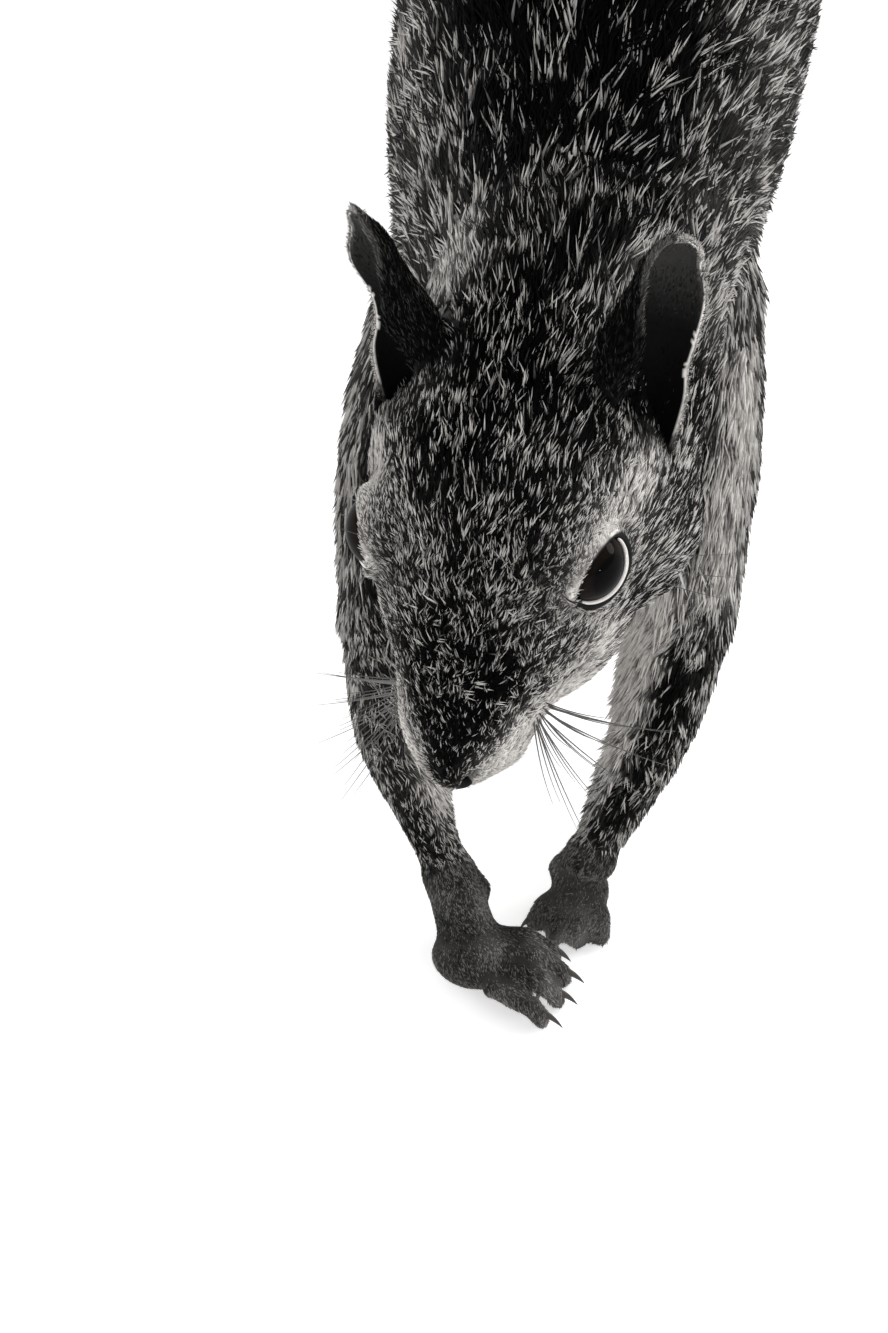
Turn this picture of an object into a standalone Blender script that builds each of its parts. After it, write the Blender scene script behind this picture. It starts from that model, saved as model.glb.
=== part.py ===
"""A grey squirrel, crouched on all fours with its hands together under its nose.

It faces -Y, with its left side toward +X.
Lengths here are in millimetres. The last step scales every piece to metres.
"""

import math

import bmesh
import bpy
import numpy as np
from mathutils import Matrix, Vector

MM = 0.001
GAP = 0.3

# The head's own frame: x to the squirrel's left, y back from the nose tip, z up.
NOSE = Vector((-5.8, -80.4, 47.6))
HEAD_TURN = Matrix(((0.9672, 0.1246, -0.2215), (-0.2030, 0.9030, -0.3786), (0.1529, 0.4112, 0.8987)))

# y, half width, top, bottom, in the head's frame
HEAD_ROWS = (
    (0.6, 2.9, 2.4, -3.4),
    (2.5, 5.3, 3.9, -6.2),
    (6.5, 7.6, 5.4, -8.6),
    (12.0, 9.4, 8.0, -10.4),
    (17.0, 12.0, 11.0, -11.8),
    (22.0, 14.8, 13.6, -13.0),
    (28.0, 17.0, 16.0, -14.0),
    (34.0, 18.8, 17.6, -14.8),
    (40.0, 19.8, 18.2, -15.4),
    (47.0, 20.0, 17.8, -16.4),
    (54.0, 19.5, 16.9, -18.0),
    (62.0, 18.8, 15.2, -19.5),
)

# x, y, z, half width, rise above the line, drop below it
TRUNK_ROWS = (
    (0.5, -30, 69, 17.0, 16, 18),
    (0.0, -16, 67, 20.5, 19, 22),
    (-1.0, -2, 64, 23.5, 22, 26),
    (-1.5, 20, 60.5, 26.8, 27.5, 30),
    (-1.5, 48, 61.5, 29.0, 30.5, 32),
    (-1.0, 80, 62, 31.5, 34, 35),
    (0.0, 112, 57, 33.5, 37, 35),
    (0.0, 137, 48, 29.0, 32, 28),
    (0.0, 154, 37, 19.5, 21, 20),
    (0.5, 166, 30, 13.0, 12.5, 13),
)
TAIL_ROWS = (
    (0.5, 158, 34, 12.0, 12, 12),
    (2.0, 176, 26, 15.5, 14, 15),
    (5.0, 200, 19, 20.5, 15, 18.5),
    (10.0, 232, 16, 25.0, 16, 16.6),
    (15.0, 266, 16, 27.0, 16, 16.6),
    (17.0, 299, 17, 26.0, 16, 16.8),
    (14.0, 329, 22, 21.5, 14, 14.5),
    (8.0, 352, 29, 14.0, 10, 10),
    (4.0, 364, 34, 7.0, 5.5, 5.5),
)

# The joints of each limb: 1 is the left side, -1 the right.
SHOULDER = {1: (13.5, 2, 58), -1: (-14.5, -4, 58)}
UPPER_MIDDLE = {1: (17.0, -14, 43), -1: (-19.2, -21, 43)}
ELBOW = {1: (18.9, -31, 27), -1: (-20.2, -37, 28)}
FOREARM_MIDDLE = {1: (16.2, -47, 19.5), -1: (-16.2, -54.5, 21)}
WRIST = {1: (9.4, -62.5, 10.0), -1: (-7.2, -67.0, 10.0)}
KNEE = {1: (30, 103, 35), -1: (-31, 94, 35)}
ANKLE = {1: (24.5, 169, 13), -1: (-30, 150, 13)}
HAUNCH = {1: (25.5, 123, 47), -1: (-25.5, 116, 47)}
HAUNCH_RADII = (14, 35, 31)

# The level at which the foot meets the shank.
FOOT_TOP = 11.0

EYE = (11.8, 26.9, 7.4)
EYE_RADIUS = 5.2

# The ear's own frame: up its length, out of its open side, and across it.
EAR_ROOT = (14.8, 46.5, 12.0)
EAR_UP = (0.22, 0.65, 0.72)
EAR_OPEN = (0.75, -0.60, 0.30)
EAR_LENGTH = 20.0
EAR_THICK = 1.3
# share of the length, half width, depth of the cup
EAR_ROWS = (
    (-0.25, 5.0, 5.4),
    (0.0, 6.3, 5.0),
    (0.25, 6.6, 4.2),
    (0.5, 6.0, 2.8),
    (0.72, 4.8, 1.7),
    (0.9, 2.9, 0.9),
    (1.0, 0.9, 0.2),
)


def clear_scene():
    for item in list(bpy.data.objects):
        bpy.data.objects.remove(item, do_unlink=True)


def new_object(name, points, faces):
    mesh = bpy.data.meshes.new(name)
    mesh.from_pydata([tuple(p) for p in points], [], faces)
    mesh.update()
    item = bpy.data.objects.new(name, mesh)
    bpy.context.scene.collection.objects.link(item)
    return item


def smooth_rows(rows, steps):
    """The rows with even steps put in between them, along one smooth curve."""
    rows = np.array(rows, float)
    ends = np.vstack([2 * rows[0] - rows[1], rows, 2 * rows[-1] - rows[-2]])
    out = []
    for i in range(1, len(ends) - 2):
        a, b, c, d = ends[i - 1 : i + 3]
        for t in np.arange(steps) / steps:
            out.append(
                0.5
                * (
                    2 * b
                    + (c - a) * t
                    + (2 * a - 5 * b + 4 * c - d) * t * t
                    + (3 * b - a - 3 * c + d) * t**3
                )
            )
    out.append(rows[-1])
    return np.array(out)


def loft(name, rows, up=(0, 0, 1), around=28, steps=5, domed=True):
    """A closed body through ovals set square to a curve. Its ends are domed or flat.

    Each row holds x, y, z, half width, rise and drop.
    """
    rows = smooth_rows(rows, steps)
    paths = np.gradient(rows[:, :3], axis=0)
    rings = []
    angles = np.arange(around) * 2 * math.pi / around
    for number, (row, path) in enumerate(zip(rows, paths)):
        ahead = path / np.linalg.norm(path)
        across = np.cross(ahead, np.array(up, float))
        across /= np.linalg.norm(across)
        lift = np.cross(across, ahead)
        rises = np.where(np.sin(angles) > 0, row[4], row[5]) * np.sin(angles)
        shape = np.outer(row[3] * np.cos(angles), across) + np.outer(rises, lift)
        domes = ()
        if domed and number in (0, len(rows) - 1):
            deep = min(row[3], 0.5 * (row[4] + row[5])) * (-1 if number == 0 else 1)
            domes = [(deep * math.sin(k), math.cos(k)) for k in (0.5, 1.0, 1.4)]
        ring = [row[:3] + shape]
        for shift, scale in domes:
            ring.append(row[:3] + ahead * shift + shape * scale)
        rings += ring[::-1] if number == 0 else ring
    points = np.vstack(rings)
    count = len(rings)
    faces = []
    for i in range(count - 1):
        for j in range(around):
            k = (j + 1) % around
            low, high = i * around, (i + 1) * around
            faces.append((low + j, low + k, high + k, high + j))
    faces.append(tuple(range(around))[::-1])
    faces.append(tuple((count - 1) * around + j for j in range(around)))
    item = new_object(name, points, faces)
    face_out(item)
    return item


def face_out(item):
    shape = bmesh.new()
    shape.from_mesh(item.data)
    bmesh.ops.recalc_face_normals(shape, faces=shape.faces)
    shape.to_mesh(item.data)
    shape.free()


def ball(name, centre, radii, turn=None, parts=32):
    """An oval ball. turn is a 3 x 3 matrix."""
    bpy.ops.mesh.primitive_uv_sphere_add(segments=parts, ring_count=parts // 2, radius=1)
    item = bpy.context.object
    item.name = name
    place = Matrix.Translation(centre)
    if turn is not None:
        place = place @ turn.to_4x4()
    item.data.transform(place @ Matrix.Diagonal((*radii, 1)))
    return item


def box(name, centre, sides, turn=None):
    bpy.ops.mesh.primitive_cube_add(size=1)
    item = bpy.context.object
    item.name = name
    place = Matrix.Translation(centre)
    if turn is not None:
        place = place @ turn.to_4x4()
    item.data.transform(place @ Matrix.Diagonal((*sides, 1)))
    return item


def apply(item, kind, **settings):
    modifier = item.modifiers.new(kind, kind)
    for name, value in settings.items():
        setattr(modifier, name, value)
    bpy.context.view_layer.objects.active = item
    bpy.ops.object.modifier_apply(modifier=modifier.name)


def join(name, items):
    for other in bpy.context.selected_objects:
        other.select_set(False)
    for item in items:
        item.select_set(True)
    bpy.context.view_layer.objects.active = items[0]
    bpy.ops.object.join()
    items[0].name = name
    return items[0]


def fuse(name, items, voxel, rounds, factor=0.5):
    """The items made one skin, with soft joins."""
    item = join(name, items)
    apply(item, "REMESH", mode="VOXEL", voxel_size=voxel)
    if rounds:
        apply(item, "SMOOTH", factor=factor, iterations=rounds)
    return item


def thin_out(item, triangles):
    count = sum(len(face.vertices) - 2 for face in item.data.polygons)
    apply(item, "DECIMATE", ratio=triangles / count, use_collapse_triangulate=True)


def drop_crumbs(item):
    """Keeps the largest body of the mesh."""
    shape = bmesh.new()
    shape.from_mesh(item.data)
    left = set(shape.verts)
    bodies = []
    while left:
        found = {left.pop()}
        edge = list(found)
        while edge:
            vert = edge.pop()
            for link in vert.link_edges:
                other = link.other_vert(vert)
                if other in left:
                    left.remove(other)
                    found.add(other)
                    edge.append(other)
        bodies.append(found)
    bodies.sort(key=len, reverse=True)
    for body in bodies[1:]:
        bmesh.ops.delete(shape, geom=list(body), context="VERTS")
    shape.to_mesh(item.data)
    shape.free()


def copy_of(item, name):
    twin = item.copy()
    twin.data = item.data.copy()
    twin.name = name
    bpy.context.scene.collection.objects.link(twin)
    return twin


def cut(item, other, how="DIFFERENCE"):
    apply(item, "BOOLEAN", operation=how, object=other, solver="EXACT")


def remove(*items):
    for item in items:
        bpy.data.objects.remove(item, do_unlink=True)


def carve(body, name, make):
    """Takes one named piece out of the body. make(grow) gives the region, larger by grow."""
    region = make(0.0)
    wider = make(GAP)
    piece = copy_of(body, name)
    cut(piece, region, "INTERSECT")
    cut(body, wider)
    remove(region, wider)
    drop_crumbs(piece)
    drop_crumbs(body)
    return piece


def slab_turn(direction):
    """A turn whose z axis runs along direction."""
    return Vector(direction).to_track_quat("Z", "Y").to_matrix()


def beyond(point, direction, width, length):
    """A region maker: all of a box that starts at point and runs on along direction."""
    turn = slab_turn(direction)
    ahead = Vector(direction).normalized()

    def make(grow):
        centre = Vector(point) + ahead * (length / 2 - grow)
        return box("region", centre, (width + 2 * grow, width + 2 * grow, length), turn)

    return make


def in_ball(centre, radii, turn=None):
    def make(grow):
        return ball("region", Vector(centre), [r + grow for r in radii], turn, 14)

    return make


def head_point(x, y, z):
    return NOSE + HEAD_TURN @ Vector((x, y, z))


def posed(item):
    item.data.transform(Matrix.Translation(NOSE) @ HEAD_TURN.to_4x4())
    return item


def make_head():
    rows = [
        (0, y, 0.5 * (top + low), half, 0.5 * (top - low), 0.5 * (top - low))
        for y, half, top, low in HEAD_ROWS
    ]
    items = [loft("skull", rows, around=36)]
    for side in (-1, 1):
        # whisker pad, jaw, cheek and the brow over the eye
        items.append(ball("pad", (side * 3.7, 8.5, -3.4), (4.0, 6.2, 4.2)))
        items.append(ball("jaw", (side * 5.8, 25, -7.6), (7.0, 12, 5.4)))
        items.append(ball("cheek", (side * 12.5, 37, -5.0), (8.2, 12.0, 9.5)))
        items.append(ball("brow", (side * 9.8, 28.0, 11.4), (3.6, 6.5, 3.0)))
    items.append(ball("chin", (0, 9.0, -8.2), (3.4, 5.0, 2.6)))
    return [posed(item) for item in items]


def limb_row(point, across, thick=None):
    thick = across if thick is None else thick
    return (*point, across, thick, thick)


def make_arm(side):
    joints = (SHOULDER, UPPER_MIDDLE, ELBOW, FOREARM_MIDDLE, WRIST)
    shoulder, upper_middle, elbow, middle, wrist = (Vector(p[side]) for p in joints)
    upper = [
        limb_row(shoulder, 12, 10.0),
        limb_row(upper_middle, 9.8, 9.2),
        limb_row(elbow, 7.0, 6.7),
    ]
    lower = [
        limb_row(elbow + Vector((0, 2.0, 0.5)), 6.8, 6.6),
        limb_row(elbow.lerp(middle, 0.5), 6.2, 6.3),
        limb_row(middle, 5.4, 5.4),
        limb_row(middle.lerp(wrist, 0.6), 4.4, 4.3),
        limb_row(wrist, 3.9, 3.7),
        limb_row(wrist + (wrist - middle).normalized() * 4, 3.9, 3.4),
    ]
    return [
        loft("upper", upper, up=(1, 0, 0)),
        loft("lower", lower, up=(1, 0, 0)),
    ]


def make_leg(side):
    knee, ankle = Vector(KNEE[side]), Vector(ANKLE[side])
    haunch = ball("haunch", HAUNCH[side], HAUNCH_RADII, None, 40)
    shank = [
        limb_row(knee, 9.5, 9.5),
        limb_row(knee.lerp(ankle, 0.5), 7.5, 8.5),
        limb_row(ankle, 5.0, 5.6),
        limb_row(ankle + (ankle - knee).normalized() * 3, 4.8, 5.2),
    ]
    return [haunch, loft("shank", shank, up=(1, 0, 0))]


def make_body():
    items = make_head()
    items.append(loft("trunk", TRUNK_ROWS, around=40))
    items.append(loft("tail", TAIL_ROWS, around=32))
    for side in (1, -1):
        items += make_arm(side)
        items += make_leg(side)
    body = fuse("body", items, 1.1, 14)
    thin_out(body, 3400)
    return body


def claw(root, tip, thick, drop):
    """A curved claw from root to tip. drop is how far its middle rises above the straight line."""
    root, tip = Vector(root), Vector(tip)
    middle = root.lerp(tip, 0.5) + Vector((0, 0, drop))
    rows = [limb_row(root, thick), limb_row(middle, 0.8 * thick), limb_row(tip, 0.3)]
    return loft("claw", rows, around=6, steps=1, domed=False)


def digit(points, thick, tip):
    count = len(points) - 1
    rows = [limb_row(p, thick + (tip - thick) * i / count) for i, p in enumerate(points)]
    return loft("digit", rows, around=16, steps=4)


def level_floor(item):
    floor = box("floor", (0, 150, -25), (400, 800, 50))
    cut(item, floor)
    remove(floor)


def finish_paw(name, items, claws, triangles):
    paw = fuse(name, items, 0.42, 3)
    thin_out(paw, triangles)
    for one in claws:
        cut(paw, one, "UNION")
        remove(one)
    level_floor(paw)
    drop_crumbs(paw)
    return paw


# Each digit: root, knuckle, tip, and the end of its claw.
DIGITS = {
    1: (
        ((7.4, -63.4, 5.0), (4.8, -65.0, 4.6), (3.5, -65.9, 2.3), (1.0, -66.6, 0.5)),
        ((7.6, -65.2, 5.0), (6.6, -66.8, 4.8), (6.2, -67.6, 2.4), (5.6, -69.0, 0.5)),
        ((9.2, -65.4, 5.0), (9.2, -67.0, 4.9), (9.2, -67.8, 2.4), (9.1, -69.2, 0.5)),
        ((10.5, -64.6, 5.0), (11.0, -66.2, 4.8), (11.3, -67.0, 2.4), (11.5, -68.4, 0.5)),
    ),
    -1: (
        ((-0.8, -71.4, 5.0), (2.8, -71.6, 5.4), (6.3, -70.9, 2.3), (9.3, -70.8, 0.5)),
        ((0.2, -72.6, 5.2), (4.4, -73.4, 5.8), (8.0, -73.7, 2.3), (11.5, -73.5, 0.5)),
        ((0.0, -75.6, 5.0), (4.0, -76.7, 5.4), (7.6, -77.1, 2.3), (11.0, -76.9, 0.5)),
        ((-1.2, -78.4, 4.6), (2.4, -80.0, 4.8), (6.0, -80.5, 2.3), (9.6, -80.9, 0.5)),
    ),
}
PALM = {1: ((8.8, -62.2, 4.6), (4.0, 4.4, 5.1)), -1: ((-3.2, -74.2, 4.4), (4.6, 6.2, 4.9))}
PALM_TURN = {1: 10, -1: -24}
THUMB = {1: (5.4, -60.4, 6.4), -1: (-3.0, -65.8, 6.8)}


def make_hand(side):
    wrist, middle = Vector(WRIST[side]), Vector(FOREARM_MIDDLE[side])
    centre, radii = PALM[side]
    turn = Matrix.Rotation(math.radians(PALM_TURN[side]), 3, "Z")
    stem = [
        limb_row(wrist.lerp(middle, 0.35), 4.3, 4.1),
        limb_row(wrist, 3.9, 3.7),
        limb_row(Vector(centre).lerp(wrist, 0.35), 4.3, 3.4),
    ]
    items = [
        ball("palm", centre, radii, turn),
        loft("stem", stem, up=(1, 0, 0), steps=4),
        ball("thumb", THUMB[side], (1.9, 1.9, 1.9)),
    ]
    claws = []
    for root, knuckle, tip, end in DIGITS[side]:
        items.append(digit((root, knuckle, tip), 2.0, 1.5))
        items.append(ball("pad", (tip[0], tip[1], 1.4), (1.6, 1.6, 1.8)))
        claws.append(claw(Vector(tip) + Vector((0, 0, 0.2)), end, 0.75, 0.5))
    name = "hand_left" if side == 1 else "hand_right"
    return finish_paw(name, items, claws, 260)


# How far each toe stands out, and how far forward of the heel it and its claw reach.
TOES = ((-6.6, 45, 50), (-3.6, 50, 55.5), (0.0, 51.5, 57), (3.6, 50.5, 56), (6.8, 46, 51.5))


def make_foot(side):
    knee, ankle = Vector(KNEE[side]), Vector(ANKLE[side])
    heel = ankle + Vector((0, 9.0, 0))

    def at(out, ahead, height):
        splay = 0.06 * ahead
        return Vector((heel.x + side * (out + splay), heel.y - ahead, height))

    sole = [
        limb_row(at(0, 0, 5.0), 4.6, 5.4),
        limb_row(at(0, 10, 4.8), 5.0, 5.2),
        limb_row(at(0, 24, 4.2), 5.4, 4.7),
        limb_row(at(0, 36, 3.8), 6.6, 4.3),
        limb_row(at(0, 41, 3.4), 6.4, 3.7),
    ]
    stem = [
        limb_row(ankle.lerp(knee, 0.16), 5.4, 6.2),
        limb_row(ankle, 5.0, 5.6),
        limb_row(at(0, 3, 6.4), 4.8, 5.6),
    ]
    items = [loft("sole", sole, around=20), loft("stem", stem, up=(1, 0, 0), steps=4)]
    claws = []
    for out, ahead, end in TOES:
        root, knuckle = at(0.62 * out, 36, 4.0), at(0.9 * out, ahead - 6, 4.6)
        tip = at(out, ahead, 2.2)
        items.append(digit((root, knuckle, tip), 2.2, 1.6))
        items.append(ball("pad", (tip.x, tip.y, 1.5), (1.8, 1.8, 1.9)))
        claws.append(claw(tip + Vector((0, 0, 0.2)), at(1.03 * out, end, 0.5), 0.8, 0.6))
    name = "foot_left" if side == 1 else "foot_right"
    return finish_paw(name, items, claws, 280)


def make_ear(name, side, head):
    up = Vector(EAR_UP).normalized()
    out = Vector(EAR_OPEN)
    out = (out - up * out.dot(up)).normalized()
    across = up.cross(out)
    rows = smooth_rows([(s, h, d, 0, 0, 0) for s, h, d in EAR_ROWS], 2)
    columns = np.linspace(-1, 1, 7)
    points = []
    for share, half, deep in rows[:, :3]:
        for v in columns:
            low = (-3.0 if v > 0 else -9.0) * v * max(0.0, 0.35 - share)
            low = low if v > 0 else abs(low)
            spot = Vector(EAR_ROOT) + up * (EAR_LENGTH * share + low)
            spot += across * half * v + out * (deep * (v * v - 0.6))
            points.append((side * spot.x, spot.y, spot.z))
    wide = len(columns)
    faces = []
    for i in range(len(rows) - 1):
        for j in range(wide - 1):
            k = i * wide + j
            faces.append((k, k + 1, k + wide + 1, k + wide))
    ear = new_object(name, points, faces)
    apply(ear, "SOLIDIFY", thickness=EAR_THICK, offset=0.0)
    face_out(ear)
    posed(ear)
    wider = copy_of(head, "wider")
    apply(wider, "DISPLACE", strength=GAP, mid_level=0.0)
    cut(ear, wider)
    remove(wider)
    drop_crumbs(ear)
    return ear


def make_eye(name, side, head):
    centre = head_point(side * EYE[0], EYE[1], EYE[2])
    socket = ball("socket", centre, [EYE_RADIUS + GAP] * 3, None, 16)
    cut(head, socket)
    remove(socket)
    return ball(name, centre, [EYE_RADIUS] * 3, None, 16)


def head_region(grow):
    """The head, up to a plane behind the ears."""
    region = box("region", (0, 21, 3), (43 + 2 * grow, 64 + 2 * grow, 45 + 2 * grow))
    return posed(region)


def part_limbs(body, side):
    """The pieces of the two limbs on one side."""
    tag = "left" if side == 1 else "right"
    wrist, middle = Vector(WRIST[side]), Vector(FOREARM_MIDDLE[side])
    elbow, shoulder = Vector(ELBOW[side]), Vector(SHOULDER[side])
    knee, ankle = Vector(KNEE[side]), Vector(ANKLE[side])

    # The hand takes over from the forearm at a plane across the wrist.
    start = wrist.lerp(middle, 0.12)
    hand = make_hand(side)
    whole = beyond(start, wrist - middle, 90, 60)(0.0)
    cut(hand, whole, "INTERSECT")
    remove(whole)
    remove(carve(body, "spare", beyond(start, wrist - middle, 16, 30)))

    # The foot takes over from the shank at a level plane under the ankle.
    foot = make_foot(side)
    above = box("above", (ankle.x, ankle.y, FOOT_TOP + 25), (120, 160, 50))
    cut(foot, above)
    remove(above)

    def under_ankle(grow):
        return box("region", (ankle.x, ankle.y - 9, 0), (18, 36, 2 * (FOOT_TOP + grow)))

    remove(carve(body, "spare", under_ankle))
    for paw in (hand, foot):
        drop_crumbs(paw)
    forearm = carve(body, "forearm_" + tag, beyond(elbow, middle - elbow, 19, 60))
    arm_centre = shoulder.lerp(elbow, 0.5) + Vector((side * 2.5, 0, 0))
    arm_turn = slab_turn(elbow - shoulder)
    upper_arm = carve(body, "upper_arm_" + tag, in_ball(arm_centre, (12.5, 16, 28), arm_turn))
    shank = carve(body, "shank_" + tag, beyond(knee.lerp(ankle, 0.5), ankle - knee, 17, 40))
    haunch = Vector(HAUNCH[side]) + Vector((side * 5, 0, 0))
    wide, long, high = HAUNCH_RADII
    thigh = carve(body, "thigh_" + tag, in_ball(haunch, (wide + 6, long + 1, high + 1)))
    return [hand, foot, forearm, upper_arm, shank, thigh]


def lengthwise(start, end):
    """A region maker: all of the body between two values of y."""

    def make(grow):
        low, high = start - grow, end + grow
        return box("region", (0, 0.5 * (low + high), 60), (300, high - low, 300))

    return make


def material(name, colour, rough, coat=0.0):
    shade = bpy.data.materials.new(name)
    shade.use_nodes = True
    surface = shade.node_tree.nodes["Principled BSDF"]
    surface.inputs["Base Color"].default_value = (*colour, 1)
    surface.inputs["Roughness"].default_value = rough
    surface.inputs["Coat Weight"].default_value = coat
    return shade


clear_scene()
body = make_body()
pieces = part_limbs(body, 1) + part_limbs(body, -1)
head = carve(body, "head", head_region)
pieces.append(head)
for side, tag in ((1, "left"), (-1, "right")):
    pieces.append(make_eye("eye_" + tag, side, head))
    pieces.append(make_ear("ear_" + tag, side, head))
level_floor(body)
pieces.append(carve(body, "tail_tip", lengthwise(298, 500)))
pieces.append(carve(body, "tail_middle", lengthwise(232, 310)))
pieces.append(carve(body, "tail_base", lengthwise(169, 240)))
pieces.append(carve(body, "neck", lengthwise(-200, -9)))
pieces.append(carve(body, "chest", lengthwise(-20, 46)))
pieces.append(carve(body, "waist", lengthwise(40, 80)))
body.name = "hips"
pieces.append(body)

SKIN = (0.20, 0.19, 0.18)
COLOURS = {
    "eye": ((0.012, 0.010, 0.010), 0.08, 1.0),
    "ear": ((0.27, 0.25, 0.24), 0.75, 0.0),
    "hand": ((0.13, 0.12, 0.12), 0.7, 0.0),
    "foot": ((0.17, 0.16, 0.15), 0.7, 0.0),
}
low = np.min([np.min([v.co for v in p.data.vertices], axis=0) for p in pieces], axis=0)
high = np.max([np.max([v.co for v in p.data.vertices], axis=0) for p in pieces], axis=0)
SHIFT = Vector((-(low[0] + high[0]) / 2, -(low[1] + high[1]) / 2, 0))
for piece in pieces:
    apply(piece, "DECIMATE", decimate_type="DISSOLVE", angle_limit=math.radians(2.5))
    piece.data.transform(Matrix.Scale(MM, 4) @ Matrix.Translation(SHIFT))
    piece.data.materials.clear()
    look = COLOURS.get(piece.name.split("_")[0], (SKIN, 0.85, 0.0))
    piece.data.materials.append(material(piece.name, *look))
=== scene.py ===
import contextlib
import math

import bmesh
import bpy
import numpy as np
from mathutils import Matrix, Vector
from mathutils.bvhtree import BVHTree
from mathutils.kdtree import KDTree


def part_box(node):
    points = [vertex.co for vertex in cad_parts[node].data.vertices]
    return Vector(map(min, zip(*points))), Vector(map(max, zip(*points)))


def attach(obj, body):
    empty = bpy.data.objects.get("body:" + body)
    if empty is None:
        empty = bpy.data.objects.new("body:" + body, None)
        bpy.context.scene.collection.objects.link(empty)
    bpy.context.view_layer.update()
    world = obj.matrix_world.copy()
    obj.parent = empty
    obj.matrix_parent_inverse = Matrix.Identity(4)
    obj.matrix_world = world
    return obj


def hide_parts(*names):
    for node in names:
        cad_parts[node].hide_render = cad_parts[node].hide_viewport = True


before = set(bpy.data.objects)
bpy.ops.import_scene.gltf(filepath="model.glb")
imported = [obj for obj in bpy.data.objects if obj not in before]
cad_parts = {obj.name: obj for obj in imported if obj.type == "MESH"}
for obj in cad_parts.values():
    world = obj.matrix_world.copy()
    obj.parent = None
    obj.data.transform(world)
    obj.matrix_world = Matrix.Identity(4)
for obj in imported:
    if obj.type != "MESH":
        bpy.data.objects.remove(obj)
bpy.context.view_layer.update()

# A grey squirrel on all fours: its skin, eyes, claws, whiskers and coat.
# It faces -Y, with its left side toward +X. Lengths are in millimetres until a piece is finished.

MM = 0.001
RANDOM = np.random.default_rng(7)
SIDES = ((1, "left"), (-1, "right"))

# The head's own frame, as in the solids: x to the squirrel's left, y back from the nose tip, z up.
HEAD_TURN = np.array(((0.9672, 0.1246, -0.2215), (-0.2030, 0.9030, -0.3786), (0.1529, 0.4112, 0.8987)))
EYE = (11.8, 26.9, 7.4)
EYE_RADIUS = 5.2


def unit(vectors):
    vectors = np.asarray(vectors, float)
    return vectors / np.maximum(np.linalg.norm(vectors, axis=-1, keepdims=True), 1e-9)


def corners(node):
    low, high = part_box(node)
    return np.array(low) / MM, np.array(high) / MM


def middle(node):
    return sum(corners(node)) / 2


NOSE = middle("eye_left") - HEAD_TURN @ EYE
# both eyes look a little to the squirrel's right
EYES = {tag: middle("eye_" + tag) + HEAD_TURN @ (-0.5, 0.0, 0.0) for _, tag in SIDES}


def head_point(x, y, z):
    return NOSE + HEAD_TURN @ (x, y, z)


def in_head(points):
    """The points in the head's own frame."""
    return (points - NOSE) @ HEAD_TURN


def mirrored(points):
    """The points, those of the right side brought over to the left."""
    return np.column_stack([np.abs(points[:, 0]), points[:, 1:]])


def ramp(values, low, high):
    """0 below low, 1 above high, smooth between."""
    share = np.clip((values - low) / (high - low), 0, 1)
    return share * share * (3 - 2 * share)


def blend(a, b, share):
    return a + (b - a) * share


def spot(points, centre, radii):
    """1 at a centre, fading to 0 over the radii."""
    return np.exp(-(((points - centre) / radii) ** 2).sum(1))


# ---------------------------------------------------------------- mesh helpers


def put(name, data):
    """An object in the scene that holds the data."""
    item = bpy.data.objects.new(name, data)
    bpy.context.scene.collection.objects.link(item)
    return item


def new_object(name, points, faces):
    mesh = bpy.data.meshes.new(name)
    mesh.from_pydata([tuple(p) for p in points], [], faces)
    mesh.update()
    return put(name, mesh)


def choose(*items):
    bpy.ops.object.select_all(action="DESELECT")
    for item in items:
        item.select_set(True)
    bpy.context.view_layer.objects.active = items[0]


def apply(item, kind, **settings):
    modifier = item.modifiers.new(kind, kind)
    for name, value in settings.items():
        setattr(modifier, name, value)
    choose(item)
    bpy.ops.object.modifier_apply(modifier=modifier.name)


def join(name, items):
    choose(*items)
    bpy.ops.object.join()
    items[0].name = name
    items[0].data.name = name
    return items[0]


@contextlib.contextmanager
def editing(item):
    """The item's mesh, open to be reshaped."""
    shape = bmesh.new()
    shape.from_mesh(item.data)
    yield shape
    shape.to_mesh(item.data)
    shape.free()


def face_out(item):
    with editing(item) as shape:
        bmesh.ops.recalc_face_normals(shape, faces=shape.faces)


def grid_faces(rows, columns, ring=None):
    """The four-sided faces of a grid of corners. Its "rows" or its "columns" join up into a ring."""
    faces = []
    for i in range(rows if ring == "rows" else rows - 1):
        for j in range(columns if ring == "columns" else columns - 1):
            low, high = i * columns, (i + 1) % rows * columns
            k = (j + 1) % columns
            faces.append((low + j, low + k, high + k, high + j))
    return faces


def read_vectors(data, name):
    found = np.empty(len(data) * 3)
    data.foreach_get(name, found)
    return found.reshape(-1, 3)


def points_of(item):
    return read_vectors(item.data.vertices, "co")


def normals_of(item):
    return unit(read_vectors(item.data.vertex_normals, "vector"))


def set_points(item, points):
    item.data.vertices.foreach_set("co", np.asarray(points, np.float32).ravel())
    item.data.update()


class Links:
    """The edges of a mesh, to average values over neighbours."""

    def __init__(self, item):
        ends = np.empty(len(item.data.edges) * 2, np.int32)
        item.data.edges.foreach_get("vertices", ends)
        self.a, self.b = ends.reshape(-1, 2).T
        self.size = len(item.data.vertices)
        self.count = np.maximum(np.bincount(ends, minlength=self.size), 1)

    def mean(self, values):
        wide = values.reshape(self.size, -1)
        sums = [
            np.bincount(self.a, column[self.b], self.size) + np.bincount(self.b, column[self.a], self.size)
            for column in wide.T
        ]
        return (np.stack(sums, 1) / self.count[:, None]).reshape(values.shape)

    def soften(self, values, rounds, where=None):
        for _ in range(rounds):
            mean = self.mean(values)
            values = 0.5 * (values + mean) if where is None else blend(values, mean, 0.5 * where)
        return values


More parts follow.
